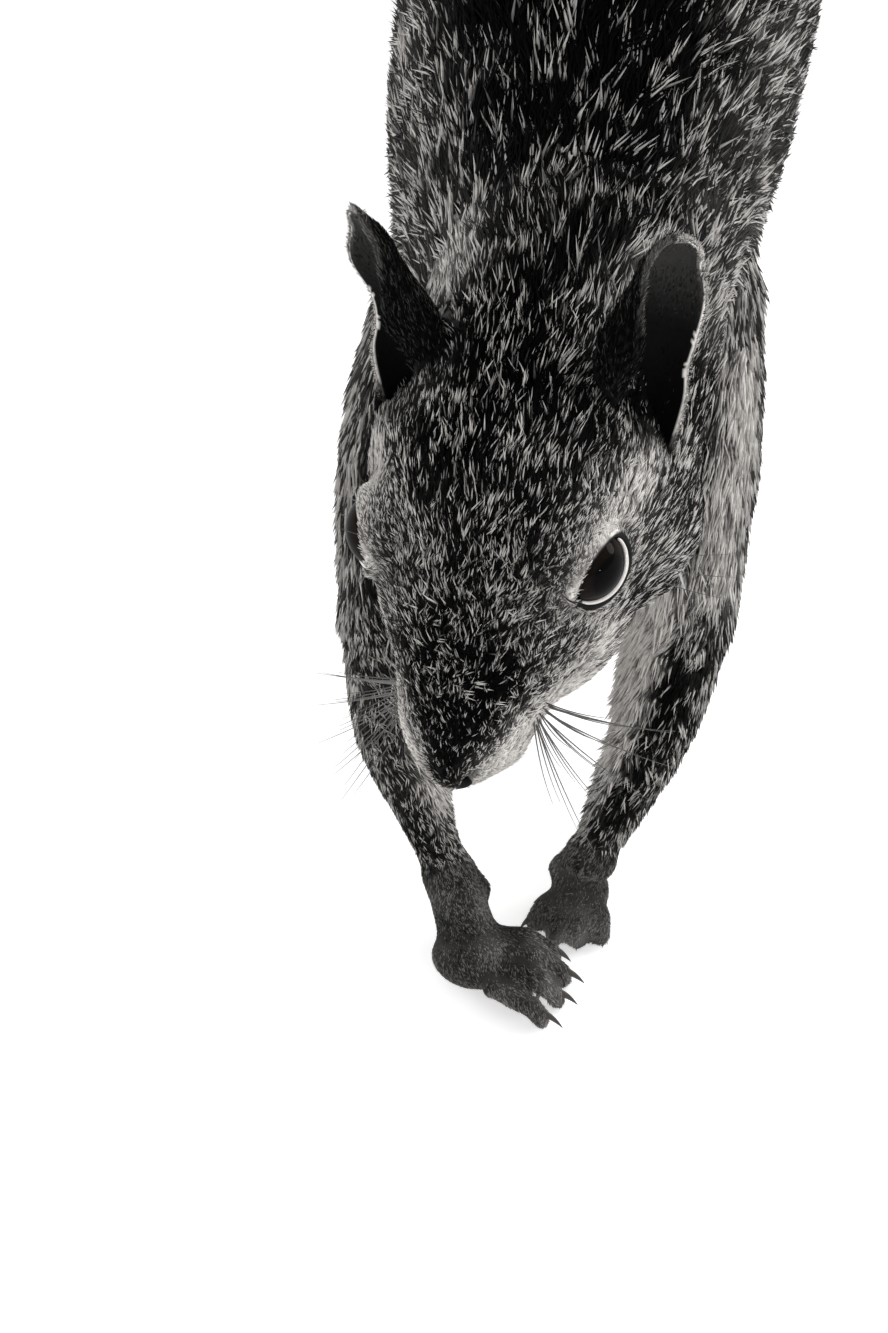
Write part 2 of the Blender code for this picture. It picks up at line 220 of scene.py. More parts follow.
def smooth_rows(rows, steps):
    """The rows with even steps put in between them, along one smooth curve."""
    rows = np.array(rows, float)
    ends = np.vstack([2 * rows[0] - rows[1], rows, 2 * rows[-1] - rows[-2]])
    out = []
    for i in range(1, len(ends) - 2):
        a, b, c, d = ends[i - 1 : i + 3]
        for t in np.arange(steps) / steps:
            bend = (2 * a - 5 * b + 4 * c - d) * t * t + (3 * b - a - 3 * c + d) * t**3
            out.append(0.5 * (2 * b + (c - a) * t + bend))
    out.append(rows[-1])
    return np.array(out)


def tube(name, line, radii, around):
    """A closed tapering tube along a line. Each radius is one number, or a width and a height."""
    line, radii = np.asarray(line, float), np.asarray(radii, float)
    radii = radii if radii.ndim == 2 else np.stack([radii, radii], 1)
    ahead = unit(np.gradient(line, axis=0))
    across = unit(np.cross(ahead, (0.0, 0.13, 1.0)))
    lift = np.cross(across, ahead)
    angles = np.arange(around) * 2 * math.pi / around
    wide, tall = np.outer(radii[:, 0], np.cos(angles)), np.outer(radii[:, 1], np.sin(angles))
    points = line[:, None] + wide[..., None] * across[:, None] + tall[..., None] * lift[:, None]
    last = (len(line) - 1) * around
    ends = [tuple(range(around))[::-1], tuple(range(last, last + around))]
    item = new_object(name, points.reshape(-1, 3), grid_faces(len(line), around, "columns") + ends)
    face_out(item)
    return item


# ---------------------------------------------------------------- what the coat is like

# Each part of the body: how deep the coat lies on the skin, how long and wide its tufts are,
# how many there are to a square millimetre, and how pale it is from 0 to 1.
COAT = {
    "head": (0.8, 3.0, 0.25, 12.5, 0.15),
    "ear": (0.08, 0.8, 0.11, 13.0, 0.30),
    "neck": (2.1, 6.0, 0.28, 7.4, 0.12),
    "chest": (2.7, 9.0, 0.38, 4.4, 0.13),
    "waist": (3.0, 10.0, 0.50, 2.7, 0.16),
    "hips": (3.0, 10.0, 0.50, 2.5, 0.18),
    "thigh": (2.4, 8.5, 0.46, 2.8, 0.24),
    "shank": (1.4, 5.0, 0.38, 4.0, 0.28),
    "upper_arm": (1.8, 5.5, 0.30, 4.8, 0.22),
    "forearm": (1.0, 3.4, 0.24, 7.2, 0.20),
    "hand": (0.40, 2.0, 0.19, 13.0, 0.24),
    "foot": (0.30, 1.8, 0.22, 6.0, 0.34),
    "tail": (3.0, 22.0, 0.60, 1.9, 0.33),
}
COAT_COLUMNS = ("depth", "length", "width", "count", "pale")
FLESH = sorted(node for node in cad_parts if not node.startswith("eye"))


def kind_of(node):
    """The COAT row that a node takes."""
    if node.startswith("tail"):
        return "tail"
    return node.removesuffix("_left").removesuffix("_right")


KINDS = np.array([kind_of(node) for node in FLESH])


def on(nodes, *kinds):
    """Whether each place, by its node's number, is on one of these kinds of part."""
    return np.isin(KINDS[nodes], kinds)


def nearest_nodes(points):
    """For each point, the number of the flesh node that it lies nearest to."""
    verts, faces, owners = [], [], []
    for number, node in enumerate(FLESH):
        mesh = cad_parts[node].data
        start = len(verts)
        verts += [v.co / MM for v in mesh.vertices]
        faces += [[start + i for i in face.vertices] for face in mesh.polygons]
        owners += [number] * len(mesh.polygons)
    tree = BVHTree.FromPolygons(verts, faces)
    return np.array([owners[tree.find_nearest(p)[2]] for p in points.tolist()])


# ---------------------------------------------------------------- the tail's line

TAIL_NODES = ("tail_base", "tail_middle", "tail_tip")
TAIL_STEP = 8.0


def tail_line():
    """Points along the middle of the tail, from its root to its tip."""
    points = np.vstack([[v.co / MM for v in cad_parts[n].data.vertices] for n in TAIL_NODES])
    start, end = points[:, 1].min(), points[:, 1].max()
    line = []
    for y in np.arange(start, end, TAIL_STEP):
        near = points[np.abs(points[:, 1] - y) < TAIL_STEP]
        line.append(0.5 * (near.min(0) + near.max(0)) * (1, 0, 1) + (0, y, 0))
    line = np.array(line)
    for _ in range(3):
        line[1:-1] = 0.25 * line[:-2] + 0.5 * line[1:-1] + 0.25 * line[2:]
    return line


TAIL_LINE = tail_line()
TAIL_START, TAIL_END = TAIL_LINE[0, 1], TAIL_LINE[-1, 1]


def tail_place(points):
    """The tail's middle and direction beside each point, and how far along it is from 0 to 1."""
    y = np.clip(points[:, 1], TAIL_START, TAIL_END)
    centre = np.stack([np.interp(y, TAIL_LINE[:, 1], TAIL_LINE[:, i]) for i in range(3)], 1)
    slope = unit(np.gradient(TAIL_LINE, axis=0))
    ahead = unit(np.stack([np.interp(y, TAIL_LINE[:, 1], slope[:, i]) for i in range(3)], 1))
    return centre, ahead, (points[:, 1] - TAIL_START) / (TAIL_END - TAIL_START)


def tail_share(along):
    """How much of the tail's full thickness is flesh and underfur."""
    return blend(0.86, 0.44, ramp(along, -0.05, 0.22)) * blend(1.0, 0.6, ramp(along, 0.75, 1.0))


# ---------------------------------------------------------------- the skin

VOXEL = 0.5
SKIN_TRIANGLES = 120000
SHORTEST_EDGE = 0.3
# how far each solid is grown to meet its neighbours, and how much shorter the flesh of the tail is
GROWN = 0.3
TAIL_SHORTER = 0.07
NAPE = -152.5


def flesh_copy(node):
    """A copy of a solid with its corners merged, grown until it meets its neighbours."""
    shape = bmesh.new()
    shape.from_mesh(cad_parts[node].data)
    bmesh.ops.scale(shape, vec=(1 / MM,) * 3, verts=shape.verts)
    bmesh.ops.remove_doubles(shape, verts=shape.verts, dist=0.002)
    shape.normal_update()
    for vert in shape.verts:
        vert.co += vert.normal * GROWN
    mesh = bpy.data.meshes.new("flesh")
    shape.to_mesh(mesh)
    shape.free()
    return put("flesh", mesh)


def ball(name, centre, radii, parts=32):
    bpy.ops.object.select_all(action="DESELECT")
    bpy.ops.mesh.primitive_uv_sphere_add(segments=parts, ring_count=parts // 2, radius=1)
    item = bpy.context.object
    item.name = name
    item.data.transform(Matrix.Translation(centre) @ Matrix.Diagonal((*radii, 1)))
    return item


# The finished ears, by side: a tree of each one's surface, to tell its corners from the head's.
EARS = {}


def coat_fields(item, rounds):
    """For each corner of the skin: its node, and the COAT values, softened from part to part."""
    points = points_of(item)
    nodes = nearest_nodes(points)
    nodes[on(nodes, "ear")] = FLESH.index("head")
    for tag, ear in EARS.items():
        close = [ear.find_nearest(p, 0.1)[0] is not None for p in points.tolist()]
        nodes[close] = FLESH.index("ear_" + tag)
    rows = np.array([COAT[kind] for kind in KINDS])[nodes]
    # the coat deepens evenly from the head over the neck to the chest
    head_row, neck_row, chest_row = (np.array(COAT[kind]) for kind in ("head", "neck", "chest"))
    backward = ramp(in_head(points)[:, 1], 32, 64)[:, None]
    onward = ramp(points[:, 1], -172, -128)[:, None]
    throat = on(nodes, "head", "neck", "chest")
    rows[throat] = blend(blend(head_row, neck_row, backward), chest_row, onward)[throat]
    links = Links(item)
    rows = links.soften(rows, rounds, (~on(nodes, "ear"))[:, None].astype(float))
    rows = links.soften(rows, 4)
    return nodes, dict(zip(COAT_COLUMNS, rows.T)), links


def sink_skin(item):
    """Moves the outline of the coat in to where the skin lies."""
    nodes, coat, links = coat_fields(item, 24)
    points, normals = points_of(item), normals_of(item)
    normals = unit(links.soften(normals, 6))
    depth = coat["depth"] + GROWN
    depth *= 1 - links.soften(on(nodes, "hand", "foot").astype(float), 6)
    for _, tag in SIDES:
        depth *= ramp(np.linalg.norm(points - EYES[tag], axis=1), EYE_RADIUS, EYE_RADIUS + 3)
    centre, _, along = tail_place(points)
    tail = links.soften(on(nodes, "tail").astype(float), 10)[:, None]
    body = points - normals * depth[:, None]
    shrunk = centre + (points - centre) * tail_share(along)[:, None]
    shrunk[:, 1] -= TAIL_SHORTER * (points[:, 1] - TAIL_START)
    points = blend(body, shrunk, tail)
    points = links.soften(points, 3)
    # the wrists, the ankles and the nape run on smoothly
    joints = [placed(joint) for joint in (*WRIST.values(), *ANKLE.values())]
    close = np.min([np.linalg.norm(points - joint, axis=1) for joint in joints], axis=0)
    nape = np.exp(-(((points[:, 1] - NAPE) / 9.0) ** 2)) * on(nodes, "neck", "chest")
    points = links.soften(points, 36, np.maximum(0.8 * np.exp(-((close / 5.0) ** 2)), nape)[:, None])
    points[:, 2] = np.maximum(points[:, 2], 0.05)
    set_points(item, points)


# The joints and digits in the frame that the solids are drawn in. 1 is the left side, -1 the right.
DRAWN_NOSE = (-5.8, -80.4, 47.6)
FOREARM_MIDDLE = {1: (16.2, -47, 19.5), -1: (-16.2, -54.5, 21)}
WRIST = {1: (9.4, -62.5, 10.0), -1: (-7.2, -67.0, 10.0)}
KNEE = {1: (30, 103, 35), -1: (-31, 94, 35)}
ANKLE = {1: (24.5, 169, 13), -1: (-30, 150, 13)}
PALM = {1: ((8.8, -62.2, 4.4), (3.7, 4.1, 4.3)), -1: ((-3.2, -74.2, 4.4), (5.6, 4.2, 4.3))}
THUMB = {1: (5.4, -60.4, 6.4), -1: (-3.0, -65.8, 6.8)}
# Each digit: root, knuckle, tip, and the end of its claw.
DIGITS = {
    1: (
        ((7.4, -63.4, 5.0), (4.8, -65.0, 4.6), (3.5, -65.9, 2.3), (1.0, -66.6, 0.5)),
        ((7.6, -65.2, 5.0), (6.6, -66.8, 4.8), (6.2, -67.6, 2.4), (5.6, -69.0, 0.5)),
        ((9.2, -65.4, 5.0), (9.2, -67.0, 4.9), (9.2, -67.8, 2.4), (9.1, -69.2, 0.5)),
        ((10.5, -64.6, 5.0), (11.6, -66.0, 4.8), (12.1, -66.8, 2.4), (12.5, -68.2, 0.5)),
    ),
    -1: (
        ((-0.8, -71.4, 5.0), (2.8, -71.4, 5.4), (6.3, -70.7, 2.3), (9.3, -70.6, 0.5)),
        ((0.2, -73.0, 5.2), (4.4, -73.7, 5.6), (8.0, -73.9, 2.3), (11.5, -73.7, 0.5)),
        ((0.0, -75.6, 5.0), (4.0, -76.9, 5.4), (7.6, -77.3, 2.3), (11.0, -77.1, 0.5)),
        ((-1.2, -78.2, 4.6), (2.4, -80.0, 4.8), (6.0, -80.6, 2.3), (9.6, -81.0, 0.5)),
    ),
}
DIGIT_THICK = {"hand": 1.5, "foot": 1.55}
# The sole, from the heel: how far ahead, how high, and half its width and height there.
SOLE = (
    (0, 5.0, 4.2, 4.7),
    (10, 4.8, 4.6, 4.4),
    (24, 4.2, 5.0, 3.9),
    (36, 3.8, 6.1, 3.4),
    (41, 3.4, 6.0, 2.9),
)
SOLE_ENDS = ((0, 5.0, (4.0, 3.4, 4.4)), (41, 3.4, (5.6, 3.4, 2.8)))
# How far each toe stands out, and how far forward of the heel it and its claw reach.
TOES = ((-6.9, 45, 50), (-3.7, 50, 55.5), (0.0, 51.5, 57), (3.7, 50.5, 56), (7.1, 46, 51.5))


def placed(drawn):
    """A place in the frame that the solids are drawn in, as it stands in the finished piece."""
    return NOSE + np.array(drawn, float) - DRAWN_NOSE


def on_foot(side, out, ahead, height):
    """A place out from the foot's middle line and ahead of its heel."""
    x, y, _ = ANKLE[side]
    return placed((x + side * (out + 0.06 * ahead), y + 9.0 - ahead, height))


def digits_of(kind, side):
    """The root, knuckle, tip and claw end of each digit of a hand or foot."""
    if kind == "hand":
        return [[placed(joint) for joint in digit] for digit in DIGITS[side]]
    return [
        [
            on_foot(side, 0.7 * out, 36, 4.0),
            on_foot(side, 0.95 * out, ahead - 6, 4.6),
            on_foot(side, out, ahead, 2.2),
            on_foot(side, 1.03 * out, end, 0.5),
        ]
        for out, ahead, end in TOES
    ]


def make_hand(side):
    """The wrist, palm and thumb."""
    wrist, forearm = np.array(WRIST[side]), np.array(FOREARM_MIDDLE[side])
    centre, radii = PALM[side]
    stem = [blend(wrist, forearm, t) for t in (0.5, 0.25, 0.0)] + [blend(np.array(centre), wrist, 0.3)]
    thumb = [blend(np.array(THUMB[side]), wrist, t) for t in (0.5, 0.2, 0.0, -0.12)]
    return [
        tube("wrist", [placed(p) for p in stem], (3.7, 3.7, 3.5, 3.7), 20),
        ball("palm", placed(centre), radii),
        tube("thumb", [placed(p) for p in thumb], (2.6, 2.0, 1.5, 0.7), 14),
    ]


def make_foot(side):
    """The sole, its rounded ends and the ankle."""
    rows = smooth_rows([(*on_foot(side, 0, ahead, high), wide, tall) for ahead, high, wide, tall in SOLE], 5)
    items = [tube("sole", rows[:, :3], rows[:, 3:], 24)]
    for ahead, high, radii in SOLE_ENDS:
        items.append(ball("end", on_foot(side, 0, ahead, high), radii))
    knee, ankle = placed(KNEE[side]), placed(ANKLE[side])
    stem = [blend(ankle, knee, 0.2), ankle, on_foot(side, 0, 3, 6.4)]
    return [*items, tube("ankle", stem, (4.3, 4.2, 4.6), 20)]


def make_paw(kind, side):
    """The flesh of one hand or foot: its digits with knuckles and pads, and the rest of it."""
    items = []
    for root, knuckle, tip, _ in digits_of(kind, side):
        line = smooth_rows((root, knuckle, tip), 4)
        radii = DIGIT_THICK[kind] * np.interp(np.arange(9), (0, 2, 4, 6, 8), (1.15, 1.0, 1.12, 0.86, 0.92))
        items.append(tube("digit", line, radii, 14))
        items.append(ball("pad", tip * (1, 1, 0) + (0, 0, 1.5), (1.3, 1.3, 1.45), 16))
    return items + (make_hand(side) if kind == "hand" else make_foot(side))


def make_skin():
    items = [flesh_copy(node) for node in FLESH if kind_of(node) not in ("ear", "hand", "foot")]
    for side, _ in SIDES:
        items += make_paw("hand", side) + make_paw("foot", side)
    for _, tag in SIDES:
        items.append(ball("fill", EYES[tag], [EYE_RADIUS + 0.5] * 3))
    skin = join("skin", items)
    apply(skin, "REMESH", mode="VOXEL", voxel_size=VOXEL)
    apply(skin, "SMOOTH", factor=0.5, iterations=8)
    sink_skin(skin)
    triangles = sum(len(face.vertices) - 2 for face in skin.data.polygons)
    apply(skin, "DECIMATE", ratio=SKIN_TRIANGLES / triangles, use_collapse_triangulate=True)
    return skin


# The ear's own frame: up its length, out of its open side, and across it to its back edge.
EAR_ROOT = (14.8, 46.5, 12.0)
EAR_UP = {1: (0.22, 0.65, 0.72), -1: (0.16, 0.50, 0.85)}
EAR_OPEN = (0.75, -0.60, 0.30)
EAR_LENGTH = 20.4
EAR_THICK = 0.8
# share of the length, width and curl of the front half, width and curl of the back half, aside, set back
EAR_ROWS = (
    (-0.30, 6.0, 170, 11.8, 110, -1.8, 5.0),
    (0.00, 8.0, 190, 11.6, 95, -1.8, 5.2),
    (0.15, 8.6, 190, 10.2, 74, -1.8, 5.1),
    (0.30, 9.0, 188, 10.0, 60, -1.8, 4.8),
    (0.60, 4.2, 150, 8.7, 64, -1.5, 3.1),
    (0.80, 3.0, 90, 6.1, 52, -0.6, 2.4),
    (0.92, 2.3, 50, 4.2, 35, -0.1, 1.2),
    (1.00, 1.1, 20, 1.5, 15, 0.3, 0.3),
)
EAR_COLUMNS = 31
EAR_SHEETS = {}


def ear_axes(side):
    up = unit(EAR_UP[side])
    out = np.array(EAR_OPEN)
    out = unit(out - up * (out @ up))
    return up, out, np.cross(up, out)


def make_ear(side, tag):
    """A cup of gristle, curled round at its front edge. EAR_SHEETS keeps where each of its places is."""
    up, out, across = ear_axes(side)
    columns = np.linspace(-1, 1, EAR_COLUMNS)
    points, notes = [], []
    for share, front, front_curl, back, back_curl, aside, behind in smooth_rows(EAR_ROWS, 5):
        for v in columns:
            half, curl = (front, front_curl) if v < 0 else (back, back_curl)
            curl = math.radians(curl)
            x = half * math.sin(curl * v) / curl + aside
            o = half * (1 - math.cos(curl * v)) / curl - behind
            low = 6.0 * abs(v) * max(0.0, 0.3 - share) if v < 0 else -3.0 * v * max(0.0, 0.35 - share)
            stand = np.array(EAR_ROOT) + up * (EAR_LENGTH * share + low) + across * x + out * o
            points.append(head_point(side * stand[0], stand[1], stand[2]))
            edge = min((1 - abs(v)) * half, (1 - share) * EAR_LENGTH)
            notes.append((share, v, edge))
    grid = np.array(points).reshape(-1, EAR_COLUMNS, 3)
    along, around = np.gradient(grid, axis=0), np.gradient(grid, axis=1)
    inward = side * unit(np.cross(around, along))
    EAR_SHEETS[tag] = [np.array(points), np.array(notes), inward.reshape(-1, 3), unit(around).reshape(-1, 3)]
    ear = new_object("ear", points, grid_faces(len(grid), EAR_COLUMNS))
    apply(ear, "SOLIDIFY", thickness=EAR_THICK, offset=0.0)
    face_out(ear)
    apply(ear, "SUBSURF", levels=1, render_levels=1)
    return ear


# The opening of the eye in the head's frame, and its lids.
EYE_AXIS = unit((0.912, -0.364, 0.183))
EYE_ALONG = (0.332, 0.938, 0.105)
OPEN_ALONG, OPEN_DOWN = math.radians(55), math.radians(41)
OPEN_UP = {1: math.radians(40), -1: math.radians(50)}
# distance out from the opening's edge, height over the ball
LID_ROWS = (
    (0.1, -0.4),
    (0.0, -0.05),
    (-0.04, 0.2),
    (0.05, 0.42),
    (0.3, 0.6),
    (0.8, 0.72),
    (1.5, 0.66),
    (2.3, 0.35),
    (3.0, -0.5),
)
LID_STEPS = 72


def eye_axes(side):
    out = np.array(EYE_AXIS)
    along = np.array(EYE_ALONG)
    along = unit(along - out * (along @ out))
    up = np.cross(out, along)
    up = up if up[2] > 0 else -up
    mirror = np.array((side, 1, 1))
    return [HEAD_TURN @ (axis * mirror) for axis in (out, along, up)]


def opening(angle, side):
    """How far the opening's edge stands from its middle, as an angle seen from the ball's centre."""
    x, y = math.cos(angle), math.sin(angle)
    tall = OPEN_UP[side] if y > 0 else OPEN_DOWN
    return (abs(x / OPEN_ALONG) ** 1.75 + abs(y / tall) ** 1.75) ** (-1 / 1.75)


def eye_way(side, angle, turn):
    """The direction from the ball's centre at an angle round the opening, turned out from its middle."""
    out, along, up = eye_axes(side)
    way = along * math.cos(angle) + up * math.sin(angle)
    return out * math.cos(turn) + way * math.sin(turn)


def round_eye(points, side, tag, reach):
    """The points within reach of an eye: which they are, their directions and distances from its centre,
    their angles round the opening, and how far beyond its edge they lie."""
    out, along, up = eye_axes(side)
    spokes = points - EYES[tag]
    far = np.linalg.norm(spokes, axis=1)
    near = far < reach
    ways = spokes[near] / far[near, None]
    turn = np.arccos(np.clip(ways @ out, -1, 1))
    angle = np.arctan2(ways @ up, ways @ along)
    beyond = (turn - np.array([opening(a, side) for a in angle])) * EYE_RADIUS
    return near, ways, far[near], angle, beyond


def make_lids(side, tag):
    """A ring of skin round the eye's opening."""
    points = []
    for step in range(LID_STEPS):
        angle = step * 2 * math.pi / LID_STEPS
        lower = 0.35 * ramp(-math.sin(angle), 0.0, 0.6)
        for away, height in LID_ROWS:
            height += lower * ramp(away, 0.0, 0.3) * (away < 2.9)
            way = eye_way(side, angle, opening(angle, side) + away / EYE_RADIUS)
            points.append(EYES[tag] + way * (EYE_RADIUS + height))
    faces = [(a, d, c, b) for a, b, c, d in grid_faces(LID_STEPS, len(LID_ROWS), "rows")]
    lids = new_object("lids", points, faces)
    apply(lids, "SUBSURF", levels=1, render_levels=1)
    with editing(lids) as shape:
        centre = Vector(EYES[tag])
        outermost = max(shape.faces, key=lambda f: (f.calc_center_median() - centre).length)
        if outermost.normal.dot(outermost.calc_center_median() - centre) < 0:
            bmesh.ops.reverse_faces(shape, faces=shape.faces)
    return lids


def open_eyes(item):
    """Sinks the skin under the ball inside each opening, and keeps it over the ball outside."""
    points = points_of(item)
    for side, tag in SIDES:
        near, ways, far, _, beyond = round_eye(points, side, tag, EYE_RADIUS + 2.5)
        inside = 1 - ramp(beyond, 0.9, 1.7)
        level = blend(np.maximum(far, EYE_RADIUS + 0.3), EYE_RADIUS - 0.8, inside)
        points[near] = EYES[tag] + ways * level[:, None]
    set_points(item, points)


def refine(item, spots):
    """Splits the skin's edges near each (centre, radius)."""
    with editing(item) as shape:
        for centre, radius in spots:
            near = [e for e in shape.edges if (e.verts[0].co - Vector(centre)).length < radius]
            near = [e for e in near if e.calc_length() > SHORTEST_EDGE]
            bmesh.ops.subdivide_edges(shape, edges=near, cuts=1, use_grid_fill=True)
            bmesh.ops.triangulate(shape, faces=[f for f in shape.faces if len(f.verts) > 3])


# Nostril, groove of the lip and mouth, in the head's frame.
NOSTRIL = ((2.0, 0.6, -0.6), (1.1, 0.3, -1.2), (2.7, 1.4, -0.2))
LIP_LINE = ((0.0, 0.2, -1.8), (0.0, 0.9, -3.2), (0.0, 1.8, -4.6))
MOUTH_LINE = ((0.0, 1.8, -4.6), (2.4, 3.6, -5.4), (4.6, 8.0, -6.6), (6.6, 14.0, -7.0), (8.2, 18.5, -6.2))


def near_line(points, line, steps=12):
    """How far each point lies from a line."""
    line = smooth_rows(line, steps)
    return np.min([np.linalg.norm(points - stop, axis=1) for stop in line], axis=0)


def carve_nose(item):
    """Nostrils, the groove under the nose and the mouth."""
    points = points_of(item)
    head = in_head(points)
    near = np.linalg.norm(head - (0, 8, -4), axis=1) < 20
    folded, normals = mirrored(head[near]), normals_of(item)[near]
    sunk = 0.9 * np.exp(-((near_line(folded, NOSTRIL) / 0.45) ** 2))
    sunk -= 0.25 * np.exp(-(((near_line(folded, NOSTRIL) - 0.95) / 0.4) ** 2))
    sunk += 0.35 * np.exp(-((near_line(folded, LIP_LINE) / 0.28) ** 2))
    sunk += 0.6 * np.exp(-((near_line(folded, MOUTH_LINE) / 0.38) ** 2))
    points[near] -= normals * sunk[:, None]
    set_points(item, points)


# Where the face is fuller than the solids, in the head's frame: the place, its reach, and how far out.
FULLER = (
    ((12.0, 20.0, -4.5), (5.0, 7.0, 5.0), 1.9),
    ((-12.0, 20.0, -4.5), (5.0, 7.0, 5.0), 1.9),
    ((5.0, 5.5, -2.0), (4.0, 5.0, 4.0), 0.8),
    ((-5.5, 7.5, -1.5), (4.5, 8.0, 4.5), 1.5),
)


def fill_face(item):
    points, normals = points_of(item), normals_of(item)
    head = in_head(points)
    out = sum(far * spot(head, centre, reach) for centre, reach, far in FULLER)
    set_points(item, points + normals * out[:, None])


# The hollow below the front of each ear, where its cup opens on the head.
EAR_HOLLOW = (16.4, 45.6, 8.8)


def carve_ear_hollows(item):
    points, normals = points_of(item), normals_of(item)
    far = np.linalg.norm(mirrored(in_head(points)) - EAR_HOLLOW, axis=1)
    set_points(item, points - normals * (3.2 * np.exp(-((far / 3.4) ** 2)))[:, None])


# ---------------------------------------------------------------- build the skin

skin = make_skin()
fill_face(skin)
eye_spots = [(EYES[tag], 8.0) for _, tag in SIDES]
nose_spots = [(head_point(0, 2.5, -2.0), 6.5), (head_point(0, 1.0, -1.5), 4.5), (head_point(0, 9, -6), 11)]
refine(skin, eye_spots + nose_spots)
carve_nose(skin)
open_eyes(skin)
carve_ear_hollows(skin)
for side, tag in SIDES:
    ear = make_ear(side, tag)
    EARS[tag] = BVHTree.FromObject(ear, bpy.context.evaluated_depsgraph_get())
    apply(skin, "BOOLEAN", operation="UNION", object=ear, solver="EXACT")
    bpy.data.objects.remove(ear, do_unlink=True)
lids = [make_lids(side, tag) for side, tag in SIDES]
skin = join("skin", [skin, *lids])


# ---------------------------------------------------------------- how the coat lies and what colour it is

# The nodes between whose middles the coat of an arm runs, and how it lies on the left leg and on the trunk.
LOWER_ARM = ("forearm", "hand")
ARM_RUNS = {"upper_arm": ("upper_arm", "forearm"), "forearm": LOWER_ARM, "hand": LOWER_ARM}
LEG_WAYS = {"thigh": (0.1, 0.75, -0.65), "shank": (0, 0.8, -0.6), "foot": (0.06, -1, -0.1)}
TRUNK_WAY = (0, 1, -0.25)
FACE_MIDDLE = (0, 2.0, -3.0)


def ear_way(side):
    return HEAD_TURN @ (unit(EAR_UP[side]) * (side, 1, 1))


def lie_of(points, nodes):
    """The way in which the coat lies at each point of the skin, before it is softened."""
    ways = np.zeros((len(points), 3))
    centre, ahead, _ = tail_place(points)
    for number, node in enumerate(FLESH):
        mine, kind = nodes == number, KINDS[number]
        side, tag = SIDES[0] if node.endswith("left") else SIDES[1]
        if kind == "head":
            ways[mine] = unit(points[mine] - head_point(*FACE_MIDDLE))
        elif kind == "ear":
            ways[mine] = ear_way(side)
        elif kind == "tail":
            spokes = unit((points[mine] - centre[mine]) * (1, 1, 0.4))
            ways[mine] = unit(ahead[mine] + 0.62 * spokes)
        elif kind in ARM_RUNS:
            start, end = (middle(f"{part}_{tag}") for part in ARM_RUNS[kind])
            ways[mine] = unit(end - start)
        elif kind in LEG_WAYS:
            ways[mine] = unit(np.array(LEG_WAYS[kind]) * (side, 1, 1))
        else:
            ways[mine] = unit(TRUNK_WAY)
            ways[mine, 0] = 0.004 * (points[mine, 0] - TAIL_LINE[0, 0])
    return ways


# Lines along which the coat is paler: down each side of the face from the ear over the eye to the lip, a
# painted rim light, and along the lip, in the head's frame; and down the front of each arm.
FACE_RIM_LIGHT_BAND = ((16.5, 42, 6), (15.8, 35, 8), (14.2, 28, 11), (13.2, 21.8, 9.8), (11, 16, 7), (9, 10, 3.5))
FACE_RIM_LIGHT_BAND += ((6.5, 5, 0),)
LIP_EDGE = ((14.0, 20, 0.0), (13.0, 15.2, 0.4), (9.9, 9.1, -0.4), (6.8, 4.8, -0.4), (4.4, 2.0, -0.6))
ARM_BAND = ((21.5, -155, 52), (21, -164, 44.5), (20.5, -172, 36), (17.5, -177.5, 32), (12, -179, 27))
# Soft marks of the head, in its own frame: how much paler, the middle and the reach. The first are within
# the head, and the others run over its edge.
HEAD_MARKS = (
    (0.42, EYE, (6.0, 8.0, 6.0)),  # ring of the eye
    (0.14, (17.5, 34.0, -1.0), (6.0, 14.0, 8.0)),  # cheek
    (0.10, (15.5, 38.0, 8.0), (4.5, 12.0, 6.0)),  # temple
    (-0.06, (0.0, 4.0, 4.0), (5.5, 7.0, 6.0)),  # bridge of the nose
)
WIDE_MARKS = (
    (-0.08, (0.0, 45.0, 17.0), (10.0, 15.0, 12.0)),  # crown
    (0.50, (13.0, 60.0, 12.0), (5.0, 6.0, 6.0)),  # behind the ear
    # painted shade: black in the hollow below the front of the ear
    (-1.0, EAR_HOLLOW, (3.2, 3.2, 3.2)),
)


def band(points, line, wide):
    """1 along a line, fading to 0 on both sides."""
    return np.exp(-((near_line(points, line, 4) / wide) ** 2))


def inner_arms(points, normals, nodes):
    """1 on the pale, fluffy inner side of each arm, above the wrist."""
    inner = ramp(-normals[:, 0] * np.sign(points[:, 0] + 2.5), 0.0, 0.60)
    return inner * on(nodes, "upper_arm", "forearm") * ramp(points[:, 2], 12, 24)


